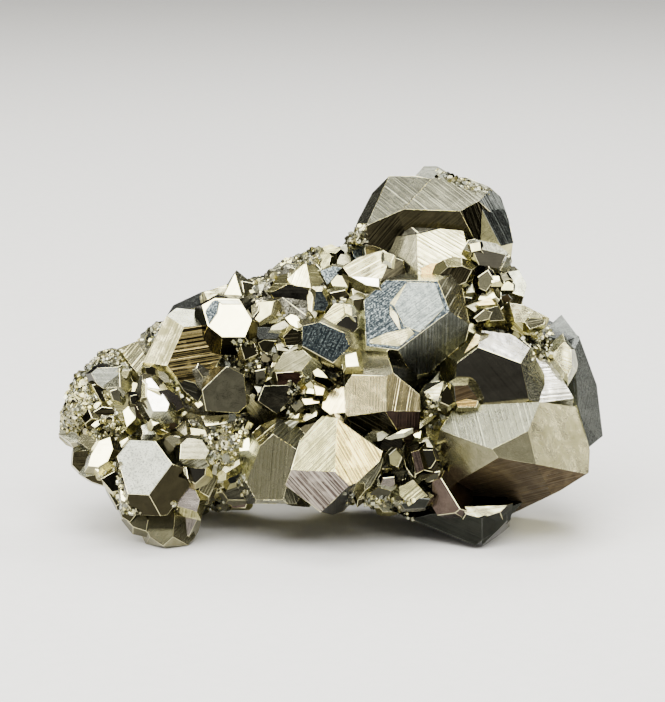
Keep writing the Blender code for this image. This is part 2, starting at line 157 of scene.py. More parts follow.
@dataclass
class Crystal:
    """A crystal drawn by its main face.

    near is how far the face's middle stands in front of the picture plane, in millimetres. lean and turn
    are the degrees that the face looks up and to the right. bends gives the angle at an outline edge where
    it isn't FACE_BEND. more adds faces that bend back from another face: (edge, pixel, pixel, bend).
    trims are faces seen edge-on from the front, each through two pixels. heart is the pixel behind which
    the crystal's centre lies, where it isn't behind the main face's middle, and thick is its size from
    front to back in millimetres.
    """

    name: str
    near: float
    lean: float
    turn: float
    outline: list
    bends: dict = field(default_factory=dict)
    more: tuple = ()
    trims: tuple = ()
    heart: tuple = None
    thick: float = None


def look(lean, turn):
    """The direction of a face that looks this many degrees up and to the right of the eye."""
    up, side = math.radians(lean), math.radians(turn)
    flat = math.cos(up)
    return RIGHT * (flat * math.sin(side)) + UP * math.sin(up) + TOWARD * (flat * math.cos(side))


def ray(pixel):
    """The direction from the eye through a pixel of the photograph."""
    across = (pixel[0] - PICTURE_MIDDLE[0]) * PIXEL
    above = (PICTURE_MIDDLE[1] - pixel[1]) * PIXEL
    return RIGHT * across + UP * above - TOWARD * EYE_DISTANCE


def seen_on(plane, pixel):
    """The point of a plane that is seen at a pixel."""
    way = ray(pixel)
    return EYE + way * ((plane.point - EYE).dot(plane.normal) / way.dot(plane.normal))


def bent_back(plane, start, end, bend, middle):
    """The plane that meets another along a line and turns back from it, away from the middle."""
    along = (end - start).normalized()
    outward = along.cross(plane.normal)
    if outward.dot(middle - start) > 0:
        outward = -outward
    angle = math.radians(bend)
    normal = plane.normal * math.cos(angle) + outward * math.sin(angle)
    return Plane(start, normal.normalized())


def planes_of(crystal):
    """All the faces of a crystal, the main one first, each with its opposite behind it."""
    count = len(crystal.outline)
    middle = (sum(p[0] for p in crystal.outline) / count, sum(p[1] for p in crystal.outline) / count)
    way = ray(middle)
    depth = (EYE_DISTANCE - crystal.near * MM) / EYE_DISTANCE
    main = Plane(EYE + way * depth, look(crystal.lean, crystal.turn))
    corners = [seen_on(main, p) for p in crystal.outline]
    width = 2 * sum((c - main.point).length for c in corners) / count
    thick = crystal.thick * MM if crystal.thick else width * THICKNESS_PER_WIDTH
    if crystal.heart:
        front = seen_on(Plane(main.point, TOWARD), crystal.heart)
        centre = front - TOWARD * (thick / 2)
    else:
        centre = main.point - main.normal * (thick / 2)
    planes = [main]
    for i, start in enumerate(corners):
        bend = crystal.bends.get(i, FACE_BEND)
        planes.append(bent_back(main, start, corners[(i + 1) % count], bend, main.point))
    for edge, first, last, bend in crystal.more:
        base = planes[edge + 1]
        planes.append(bent_back(base, seen_on(base, first), seen_on(base, last), bend, main.point))
    planes += [p.opposite(centre) for p in planes]
    reach = BACK_REACH * max(width, thick)
    for step in range(BACK_FACES):
        side = math.tau * (step + 0.5) / BACK_FACES
        outward = RIGHT * math.cos(side) + UP * math.sin(side)
        slope = math.radians(BACK_BEND)
        normal = outward * math.sin(slope) - TOWARD * math.cos(slope)
        planes.append(Plane(centre + normal * reach, normal))
    for first, last in crystal.trims:
        normal = ray(first).cross(ray(last)).normalized()
        if normal.dot(centre - EYE) > 0:
            normal = -normal
        planes.append(Plane(EYE, normal))
    return planes


# The crystals that are drawn one by one. Their outlines and the like are pixels of the picture, and their
# other values are what Crystal says.
CRYSTALS = [
    Crystal("crown_left", -5, 48, -6, [(366, 226), (403, 209), (431, 179), (416, 176), (389, 176)],
            {0: 64, 1: 40, 2: 50, 3: 50, 4: 52}, heart=(408, 218), thick=12,
            trims=(((350, 240), (358, 220)), ((358, 220), (372, 193)), ((372, 193), (389, 176)))),
    Crystal("crown_right", -4.6, 46, 3,
            [(403, 209), (460, 211), (479, 201), (492, 187), (466, 177), (432, 178)],
            {0: 66, 1: 54, 2: 48, 3: 50, 4: 50, 5: 40}, heart=(452, 214), thick=14,
            trims=(((358, 222), (390, 176)), ((466, 177), (490, 187)), ((490, 187), (501, 197)),
                   ((501, 197), (509, 220)),
                   ((509, 220), (514, 245)))),
    Crystal("crown_tip", -9, 45, -5, [(414, 177), (424, 166), (437, 166), (456, 177), (432, 182)], thick=5),
    Crystal("crown_heel", -8, 30, -40, [(342, 246), (351, 232), (364, 227), (366, 240), (352, 248)]),
    Crystal("bright_brow", 1, 25, 8,
            [(417, 234), (440, 229), (463, 231), (471, 262), (440, 280), (418, 279)],
            {5: 42}),
    Crystal("blue_plate", 8, 15, -12,
            [(364, 300), (386, 280), (438, 281), (450, 311), (398, 350), (366, 346)],
            {2: 62, 3: 55}),
    Crystal("pale_dome", 14, 8, -14,
            [(345, 386), (352, 375), (386, 376), (386, 411), (356, 428), (346, 415)],
            {0: 60, 1: 48, 2: 38, 3: 62, 4: 75, 5: 75},
            more=((2, (397, 376), (421, 396), 50), (2, (388, 412), (425, 424), 65)),
            heart=(382, 400), thick=14),
    Crystal("striped_corner", 17, 22, -22, [(291, 470), (300, 440), (322, 416), (337, 418), (335, 472)],
            {3: 55, 4: 60}, more=((3, (338, 419), (384, 453), 50), (3, (386, 455), (350, 489), 70),
                                  (4, (282, 501), (312, 520), 60), (4, (313, 520), (345, 490), 60)),
            heart=(333, 466), thick=15),
    Crystal("great_corner", 13, 30, -25, [(455, 406), (540, 402), (528, 431), (492, 449), (440, 430)],
            {0: 70, 1: 60, 2: 38, 3: 58, 4: 75},
            more=((1, (540, 465), (587, 474), 50), (2, (500, 458), (540, 465), 52)),
            heart=(530, 468), thick=24,
            trims=(((573, 398), (590, 450)), ((590, 450), (589, 470)), ((587, 474), (560, 491)),
                   ((560, 491), (518, 511)), ((500, 512), (448, 494)))),
    Crystal("dark_mirror", 9, -3, -6,
            [(457, 363), (478, 347), (521, 363), (529, 400), (516, 406), (480, 406),
                                       (455, 380)], {1: 50}),
    Crystal("scuffed_step", 5, 25, 30,
            [(523, 364), (535, 358), (552, 360), (574, 398), (541, 403), (529, 400)],
            {1: 78, 2: 82}, thick=9),
    Crystal("grey_shoulder", -4, 5, 50,
            [(566, 341), (579, 336), (597, 385), (603, 436), (590, 448), (577, 405)],
            thick=14, trims=(((579, 336), (597, 380)), ((597, 380), (603, 436)), ((603, 436), (586, 450)),
                             ((545, 318), (579, 336)))),
    Crystal("pink_tab", 3, 12, 10, [(551, 355), (565, 341), (571, 349), (572, 366), (568, 377)], thick=4),
    Crystal("right_foot", 7, -22, -25, [(411, 519), (433, 514), (482, 518), (482, 548), (450, 535)],
            {1: 78, 2: 58}, more=((2, (483, 517), (520, 503), 78),), heart=(480, 516), thick=16,
            trims=(((411, 519), (482, 548)), ((482, 548), (498, 530)), ((498, 530), (548, 497)))),
    Crystal("mauve_slab", 9, -5, -30, [(432, 481), (441, 478), (460, 509), (455, 513), (432, 516)],
            {1: 80}),
    Crystal("tan_gem", 10, 10, 10, [(399, 487), (413, 480), (428, 496), (410, 501), (400, 498)]),
    Crystal("mauve_gem", 9, -5, 15, [(413, 450), (424, 447), (437, 458), (439, 471), (421, 481)]),
    Crystal("pale_bead", 11, 0, 0, [(389, 455), (396, 450), (402, 457), (398, 467), (390, 464)]),
    Crystal("dark_chip", 10, -20, 0, [(365, 497), (378, 487), (392, 491), (385, 504), (368, 505)]),
    Crystal("olive_panel", 13, 0, -12,
            [(273, 434), (296, 449), (283, 500), (256, 500), (246, 482), (260, 446)],
            trims=(((246, 504), (290, 504)),)),
    Crystal("silver_hexagon", 12, 22, -12, [(130, 440), (155, 441), (172, 464), (149, 495), (128, 494),
                                            (117, 456)], thick=9),
    Crystal("grey_chip", 2, 30, -25, [(95, 375), (101, 368), (119, 366), (120, 387), (105, 388)]),
    Crystal("striped_fan", 4, -2, 12,
            [(184, 327), (207, 325), (225, 350), (202, 391), (184, 386), (167, 366)],
            {5: 50}),
    Crystal("pale_triangle", 0, 30, -25, [(118, 348), (137, 341), (150, 364), (141, 378)]),
    Crystal("slate", 10, -8, 4, [(227, 366), (244, 375), (247, 405), (238, 413), (206, 411), (202, 390)],
            {0: 80, 1: 80, 2: 80, 3: 80, 4: 80, 5: 80}),
    Crystal("small_slate", 10, -5, 0, [(264, 386), (289, 385), (295, 392), (277, 414), (258, 401)],
            {0: 75, 1: 75, 2: 75, 3: 75, 4: 75}),
    Crystal("blue_scratched", 9, 6, -10,
            [(302, 326), (320, 322), (345, 333), (350, 347), (333, 363), (302, 346)]),
    Crystal("sun_face", 6, 20, -8, [(202, 305), (215, 298), (239, 299), (252, 320), (245, 337), (222, 337),
                                    (208, 326)]),
    Crystal("spike", -1, 20, -15, [(222, 299), (235, 273), (243, 300)], {1: 55}),
    Crystal("white_strip", -2, 45, -10, [(204, 292), (227, 284), (226, 297), (207, 299)]),
    Crystal("back_grey", -6, 25, -40, [(164, 320), (173, 305), (201, 292), (201, 303), (182, 317)]),
    Crystal("nook", -1, 0, 0, [(184, 317), (199, 309), (200, 321), (187, 322)]),
    Crystal("dark_block", 3, -5, -5, [(270, 293), (288, 284), (311, 288), (308, 313), (286, 315)]),
    Crystal("grey_roof", -3, 45, -20, [(256, 284), (279, 262), (300, 264), (291, 277), (268, 291)]),
    Crystal("bright_wedge", 3, 15, -15, [(287, 279), (306, 262), (311, 288), (291, 285)], {1: 40}),
    Crystal("blue_grey", 1, 20, -10, [(320, 271), (333, 266), (345, 268), (341, 290), (330, 291)]),
    Crystal("bright_blade", 4, 30, -15,
            [(343, 267), (357, 258), (383, 250), (391, 256), (378, 287), (350, 277)]),
    Crystal("small_blue", 6, 0, 10, [(316, 291), (322, 291), (329, 304), (325, 311), (313, 311)]),
    Crystal("tan_plate", 7, 25, -15, [(321, 320), (335, 303), (350, 305), (349, 314), (334, 326)]),
    Crystal("pale_gem", 5, 15, -10, [(256, 300), (270, 301), (268, 316), (254, 319)], {1: 45}),
    Crystal("grey_trapezoid", 5, -5, 0, [(252, 329), (264, 326), (291, 324), (277, 339), (258, 340)]),
    Crystal("ridge", 8, 20, -15, [(272, 372), (283, 353), (303, 350), (312, 358), (301, 371)]),
    Crystal("white_heart", 9, 10, -5, [(144, 379), (150, 382), (169, 411), (150, 415), (143, 398)],
            {1: 40}),
    Crystal("olive_cap", 12, 15, -5,
            [(181, 444), (187, 438), (202, 440), (209, 451), (205, 459), (180, 459)]),
    Crystal("broken_ledge", 7, 25, -5, [(188, 420), (245, 413), (250, 425), (232, 460), (214, 462)]),
    Crystal("pink_gem", 9, 10, 5, [(184, 485), (194, 487), (200, 500), (197, 512), (177, 506)]),
    Crystal("left_foot", 6, 0, -10, [(145, 512), (170, 497), (176, 515), (172, 531), (151, 533)], {3: 45},
            thick=6,
            trims=(((128, 523), (162, 545)), ((163, 546), (180, 537)))),
    Crystal("left_tab", 3, 10, -20, [(77, 441), (85, 431), (96, 430), (97, 443), (90, 450)]),
    Crystal("left_wedge", 8, 20, -10, [(98, 442), (112, 440), (111, 456), (98, 472), (88, 463)]),
    Crystal("left_dark", 2, -5, -20, [(73, 452), (88, 450), (90, 465), (80, 473), (72, 465)]),
    Crystal("black_gem", 2, -10, 15, [(474, 253), (480, 249), (506, 255), (499, 269), (479, 265)]),
    Crystal("olive_gem", 3, 0, 0, [(478, 277), (488, 270), (494, 280), (486, 291), (479, 288)]),
    Crystal("right_chip", -2, 10, 35, [(503, 290), (506, 272), (519, 270), (527, 285), (524, 297)]),
    Crystal("white_point", 3, 30, 10, [(510, 303), (524, 305), (546, 316), (531, 321), (515, 322)]),
    Crystal("olive_chip", 5, 5, 20, [(486, 309), (498, 306), (505, 320), (490, 321)]),
    Crystal("yellow_chip", 4, 40, 0, [(476, 303), (490, 297), (497, 306), (486, 309)]),
    Crystal("pale_kite", 12, 10, 10, [(424, 392), (444, 381), (438, 401), (432, 400)]),
    Crystal("orange_chip", 11, -10, 5, [(454, 386), (468, 385), (479, 400), (472, 406), (456, 405)]),
    Crystal("white_tile", 13, 15, -5, [(345, 355), (356, 352), (359, 366), (346, 367)]),
]


# The base, as lumps: centre and half sizes in millimetres
CORE = [
    ("left_lump", (-22, 7, 22), (13, 12, 12)),
    ("left_end", (-37, 5, 20), (6, 8, 7)),
    ("low_left", (-22, 5, 13), (12, 11, 9)),
    ("middle_lump", (-4, 7, 27), (17, 13, 15)),
    ("low_middle", (4, 5, 14), (18, 11, 9)),
    ("right_lump", (26, 6, 24), (12, 12, 12)),
    ("neck", (24, 9, 38), (5, 7, 8)),
    ("crown_lump", (15, 11, 43), (8, 7, 8)),
]
LUMP_FACES = 34
LUMPS = [name for name, _, _ in CORE]

# The seen outline, which nothing that grows on the base goes past
OUTLINE = [
    (55, 435), (63, 405), (70, 380), (88, 365), (95, 350), (120, 345), (135, 340), (153, 326),
    (165, 318), (175, 304), (200, 292), (227, 283), (253, 284), (278, 262), (300, 250), (343, 245),
    (351, 232), (357, 222), (375, 190), (389, 176), (415, 176), (430, 168), (455, 176), (490, 187),
    (500, 196), (507, 215), (514, 243), (511, 266), (520, 270), (527, 297), (545, 315), (566, 330),
    (579, 336), (590, 362), (597, 385), (603, 436), (588, 448), (590, 462), (587, 474), (545, 498),
    (520, 512), (500, 528), (483, 548), (450, 535), (411, 519), (370, 508), (345, 505), (312, 520),
    (282, 503), (245, 505), (205, 515), (193, 537), (163, 545), (128, 523), (107, 502), (95, 482),
    (82, 470), (73, 450),
]


def pixel_of(point):
    """The pixel that a point is seen at."""
    way = point - EYE
    scale = EYE_DISTANCE / -way.dot(TOWARD)
    across = way.dot(RIGHT) * scale / PIXEL
    above = way.dot(UP) * scale / PIXEL
    return PICTURE_MIDDLE[0] + across, PICTURE_MIDDLE[1] - above


def within(corners, pixel):
    """Whether a pixel lies inside an outline."""
    inside = False
    for (ax, ay), (bx, by) in zip(corners, corners[1:] + corners[:1]):
        if (ay > pixel[1]) != (by > pixel[1]) and pixel[0] < (bx - ax) * (pixel[1] - ay) / (by - ay) + ax:
            inside = not inside
    return inside


def room_at(pixel):
    """How far a pixel lies inside the seen outline, in pixels, or less than nought outside it."""
    x, y = pixel
    nearest = math.inf
    for i, (ax, ay) in enumerate(OUTLINE):
        bx, by = OUTLINE[i - 1]
        along = ((x - ax) * (bx - ax) + (y - ay) * (by - ay)) / ((bx - ax) ** 2 + (by - ay) ** 2)
        along = min(max(along, 0.0), 1.0)
        nearest = min(nearest, math.hypot(x - ax - along * (bx - ax), y - ay - along * (by - ay)))
    return nearest if within(OUTLINE, pixel) else -nearest


def even_directions(count):
    """Directions spread evenly over a sphere."""
    golden = math.pi * (3 - math.sqrt(5))
    directions = []
    for i in range(count):
        z = 1 - (2 * i + 1) / count
        flat = math.sqrt(1 - z * z)
        directions.append(Vector((flat * math.cos(golden * i), flat * math.sin(golden * i), z)))
    return directions


def lump(centre, half):
    """A rounded lump of flat faces that touch an ellipsoid."""
    middle = Vector(centre) * MM
    planes = []
    for way in even_directions(LUMP_FACES):
        touch = Vector((way.x * half[0], way.y * half[1], way.z * half[2])) * MM
        normal = Vector((way.x / half[0], way.y / half[1], way.z / half[2])).normalized()
        planes.append(Plane(middle + touch, normal))
    return planes


def pyritohedron(centre, radius, spin, chance):
    """A crystal of twelve faces, some of them set back a little so that no two crystals are alike."""
    planes = []
    for axis in range(3):
        for long in (-2, 2):
            for short in (-1, 1):
                way = [0, 0, 0]
                way[axis] = long
                way[(axis + 1) % 3] = short
                normal = (spin @ Vector(way)).normalized()
                planes.append(Plane(centre + normal * (radius * chance.uniform(*MAIN_FACES)), normal))
    for axis in range(3):
        for side in (-1, 1):
            way = [0, 0, 0]
            way[axis] = side
            normal = (spin @ Vector(way)).normalized()
            planes.append(Plane(centre + normal * (radius * chance.uniform(*CUBE_FACES)), normal))
    return planes


def any_spin(chance):
    """A turn to any attitude."""
    return (Matrix.Rotation(chance.uniform(0, math.tau), 3, "Z")
            @ Matrix.Rotation(math.acos(chance.uniform(-1, 1)), 3, "X")
            @ Matrix.Rotation(chance.uniform(0, math.tau), 3, "Z"))


# The feet behind, where they stand on the ground and their radii, in millimetres, and the height of the
# middle of one in radii
BACK_FEET = [
    ("back_left_foot", (-25.5, 9.0), 5.6),
    ("back_right_foot", (23.4, 14.0), 7.5),
]
FOOT_HEIGHT = 0.72

# What grows on the base: how many on each lump, the least and the greatest radius in millimetres, how far
# the crystal's centre stands out of the lump in radii, and the seed
GROWTHS = [
    ("large", 14, 5.5, 8.5, -0.4, 11),
    ("medium", 20, 3.2, 5.5, -0.2, 23),
    ("small", 26, 1.6, 3.0, 0.0, 37),
]
# How much the direction that one grows in varies
SWAY = 0.15
# The lump that has no large crystals
GRANULAR = "left_end"
# How near the ground they come, and the share of the least radius that one which has no room still keeps
LOWEST = 1.5 * MM
LEAST_SHARE = 0.8
# How wide and how deep such a crystal counts when it would hide a drawn one, in radii
HIDING_WIDTH = 0.8
HIDING_DEPTH = 0.6
# Inside this share of a lump, squared, nothing shows
WELL_INSIDE = 0.8
# Slower than this, a ray runs along a face
PARALLEL = 1e-12


def entry(planes, way):
    """How far along a ray from the eye a solid begins, as a share of the ray, or infinity if it misses."""
    first, last = 0.0, math.inf
    for plane in planes:
        speed = way.dot(plane.normal)
        gap = (plane.point - EYE).dot(plane.normal)
        if abs(speed) < PARALLEL:
            if gap < 0:
                return math.inf
        elif speed < 0:
            first = max(first, gap / speed)
        else:
            last = min(last, gap / speed)
    return first if first < last else math.inf


def hides(point, radius, drawn):
    """Whether a round thing of this radius would stand in front of a drawn crystal."""
    spots = [point]
    for i in range(6):
        angle = math.tau * i / 6
        spots.append(point + (RIGHT * math.cos(angle) + UP * math.sin(angle)) * (radius * HIDING_WIDTH))
    for spot in spots:
        way = spot - EYE
        reach = 1 - radius * HIDING_DEPTH / way.length
        for planes in drawn:
            start = entry(planes, way)
            if reach < start < math.inf:
                return True
    return False


def grown(drawn):
    """The crystals that grow on the base all round.

    They keep inside the seen outline, off the ground, and out of the way of the drawn crystals.
    """
    bodies = []
    for name, count, least, most, out, seed in GROWTHS:
        chance = random.Random(seed)
        for k, (where, centre, half) in enumerate(CORE):
            if where == GRANULAR and name == "large":
                continue
            for i, way in enumerate(even_directions(count)):
                radius = chance.uniform(least, most) * MM
                spin = any_spin(chance)
                sway = Vector([chance.uniform(-SWAY, SWAY) for _ in range(3)])
                way = (Matrix.Rotation(seed + k, 3, "Z") @ way + sway).normalized()
                touch = Vector([c + w * h for c, w, h in zip(centre, way, half)]) * MM
                point = touch + way * (radius * out)
                if inside_core(touch, k):
                    continue
                radius = min(radius, room_at(pixel_of(point)) * PIXEL, point.z - LOWEST)
                if radius < least * MM * LEAST_SHARE or hides(point, radius, drawn):
                    continue
                bodies.append((f"{name}_{where}_{i}", pyritohedron(point, radius, spin, chance)))
    return bodies


def inside_core(point, but):
    """Whether a point lies well inside a lump of the base other than one of them."""
    for k, (_, centre, half) in enumerate(CORE):
        if k == but:
            continue
        away = [(p / MM - c) / h for p, c, h in zip(point, centre, half)]
        if sum(a * a for a in away) < WELL_INSIDE:
            return True
    return False


def feet():
    """The crystals under the back of the specimen, which dip below the ground and are cut off by it."""
    chance = random.Random(SEEDS["feet"])
    bodies = []
    for name, (x, y), radius in BACK_FEET:
        middle = Vector((x, y, radius * FOOT_HEIGHT)) * MM
        bodies.append((name, pyritohedron(middle, radius * MM, any_spin(chance), chance)))
    return bodies


def all_bodies():
    """Every convex solid of the specimen: its name and its faces."""
    drawn = [(c.name, planes_of(c)) for c in CRYSTALS]
    core = [(name, lump(centre, half)) for name, centre, half in CORE]
    return drawn + core + feet() + grown([planes for _, planes in drawn])


# The finish of each seen face: its number in the crystal, 0 for the main face, then the outline's edges in
# order and the further faces. Each has a finish, the grain of its growth steps, and the direction in which
# these run in the picture, in degrees anticlockwise from the right. The finish is picked for how light or
# dark the face looks from the front, so its colour paints the reflection and shade on it as well as
# tarnish.
FACES = {
    "crown_left": {0: ("grey", "fine", -38), 1: ("umber", "fine", 50), 2: ("umber", "fine", 50),
                   5: ("silver", "smooth", 60), 4: ("silver", "smooth", 60)},
    "crown_right": {0: ("grey", "fine", -38), 1: ("umber", "fine", 40), 2: ("umber", "fine", -70),
                    3: ("dusk", "medium", -62), 4: ("dusk", "medium", -62)},
    "crown_tip": {0: ("frosted", "smooth", 0)},
    "crown_heel": {0: ("grey", "smooth", 0)},
    "bright_brow": {0: ("bright", "coarse", -30), "rest": ("olive", "smooth", 70)},
    "blue_plate": {0: ("blue", "scratched", 35), 4: ("ash", "medium", 88), 3: ("olive", "medium", 60)},
    # The dome's lower faces, 7 and 8, are dark umber: painted shade under the dome, as well as tarnish
    "pale_dome": {0: ("cream", "fine", 88), 3: ("cream", "medium", 80), 4: ("maroon", "fine", 88),
                  5: ("maroon", "fine", 88), 1: ("olive", "smooth", 0), 2: ("olive", "smooth", 0),
                  7: ("umber", "smooth", -45), 8: ("umber", "medium", -30)},
    "striped_corner": {0: ("champagne", "coarse", 45), 4: ("butter", "medium", -60),
                       5: ("mauve", "coarse", -48), 6: ("olive", "smooth", 0)},
    # The great corner's underside faces, 6 and 7, are dark brown: painted shade as well as tarnish
    "great_corner": {0: ("silver", "fine", -75), 2: ("straw", "mirror", 20), 3: ("olive", "mirror", 0),
                     4: ("olive", "mirror", 0), 6: ("brown", "fine", 14), 7: ("brown", "fine", 14)},
    # Face 2 of the dark mirror and the main face of the scuffed step are near-white: painted highlights
    "dark_mirror": {0: ("black", "scratched", -50), 2: ("flash", "smooth", -25), 3: ("grey", "mirror", 0)},
    "scuffed_step": {0: ("flash", "medium", 5)},
    "grey_shoulder": {0: ("ash", "smooth", 80), 1: ("ash", "smooth", 80), 4: ("dusk", "smooth", 0),
                      6: ("dusk", "smooth", 0)},
    "pink_tab": {0: ("bright", "medium", -20)},
    # The right foot is near-black all over: painted shade under the overhang of the great corner
    "right_foot": {0: ("night", "fine", -24), "rest": ("night", "mirror", 0)},
    "mauve_slab": {0: ("plum", "smooth", 80), "rest": ("plum", "smooth", 80)},
    "tan_gem": {0: ("champagne", "medium", 40)},
    "mauve_gem": {0: ("umber", "smooth", 60)},
    "pale_bead": {0: ("champagne", "smooth", 0)},
    "dark_chip": {0: ("slate", "smooth", 0)},
    "olive_panel": {0: ("olive", "fine", 85), 6: ("bright", "medium", 40), 5: ("silver", "medium", 60)},
    "silver_hexagon": {0: ("frosted", "mirror", 20), "rest": ("umber", "mirror", 60)},
    "grey_chip": {0: ("grey", "smooth", 0)},
    "striped_fan": {0: ("gold", "coarse", 9), 6: ("straw", "medium", 66), 5: ("straw", "medium", 66)},
    "pale_triangle": {0: ("bright", "medium", 50)},
    "slate": {0: ("slate", "mirror", 0), "rest": ("slate", "mirror", 0)},
    "small_slate": {0: ("slate", "mirror", 0), "rest": ("slate", "mirror", 0)},
    "blue_scratched": {0: ("navy", "scratched", 65)},
    "sun_face": {0: ("bright", "mirror", 0), "rest": ("umber", "smooth", 0)},
    "spike": {0: ("bright", "smooth", 60), "rest": ("grey", "medium", 60)},
    "white_strip": {0: ("bright", "smooth", 0)},
    "back_grey": {0: ("ash", "smooth", 0)},
    "nook": {0: ("umber", "smooth", 0)},
    "dark_block": {0: ("black", "smooth", 0)},
    "grey_roof": {0: ("grey", "medium", 20)},
    "bright_wedge": {0: ("bright", "medium", 70)},
    "blue_grey": {0: ("blue", "smooth", 0)},
    "bright_blade": {0: ("bright", "coarse", 28)},
    "small_blue": {0: ("navy", "smooth", 0)},
    "tan_plate": {0: ("champagne", "medium", 30)},
    "pale_gem": {0: ("bright", "smooth", 0)},
    "grey_trapezoid": {0: ("grey", "smooth", 0)},
    "ridge": {0: ("moss", "medium", 30)},
    "white_heart": {0: ("bright", "mirror", 0), 2: ("mauve", "smooth", 0)},
    "olive_cap": {0: ("olive", "smooth", 0)},
    "broken_ledge": {0: ("granular", "medium", 10)},
    "pink_gem": {0: ("mauve", "smooth", 0)},
    "left_foot": {0: ("moss", "smooth", 60), "rest": ("moss", "smooth", 60)},
    "left_tab": {0: ("bright", "smooth", 0)},
    "left_wedge": {0: ("bright", "smooth", 0)},
    "left_dark": {0: ("umber", "smooth", 0)},
    "black_gem": {0: ("black", "smooth", 0)},
    "olive_gem": {0: ("olive", "smooth", 0)},
    "right_chip": {0: ("silver", "smooth", 0)},
    "white_point": {0: ("bright", "smooth", 0)},
    "olive_chip": {0: ("olive", "smooth", 0)},
    "yellow_chip": {0: ("gold", "smooth", 0)},
    "pale_kite": {0: ("bright", "smooth", 0)},
    "orange_chip": {0: ("brown", "medium", 20)},
    "white_tile": {0: ("bright", "smooth", 0)},
}
# The finishes of the faces that the picture doesn't show
OTHER_FINISHES = ("champagne", "silver", "grey", "olive", "champagne", "umber", "grey")

# The growth steps of a grain that has any: the mean width of a step and its greatest height, in millimetres
STEPS = {
    "fine": (0.42, 0.05),
    "medium": (0.55, 0.08),
    "coarse": (0.7, 0.12),
}
# The slope from one step to the next, the least and the greatest width of a step as a share of the mean
# one, and the least width of the slope
STEP_SLOPE = math.tan(math.radians(40))
STEP_SPREAD = (0.3, 1.8)
LEAST_SLOPE = 0.03 * MM

# The stripes of each grain: their width in millimetres and their strength, both as bumps and as darker
# bands of colour that paint the reflection of the steps
STRIPES = {
    "fine": (0.35, 1.0),
    "medium": (0.4, 1.0),
    "coarse": (0.5, 1.0),
    "smooth": (0.5, 0.25),
    "scratched": (0.3, 0.8),
    "mirror": (0.5, 0.0),
}


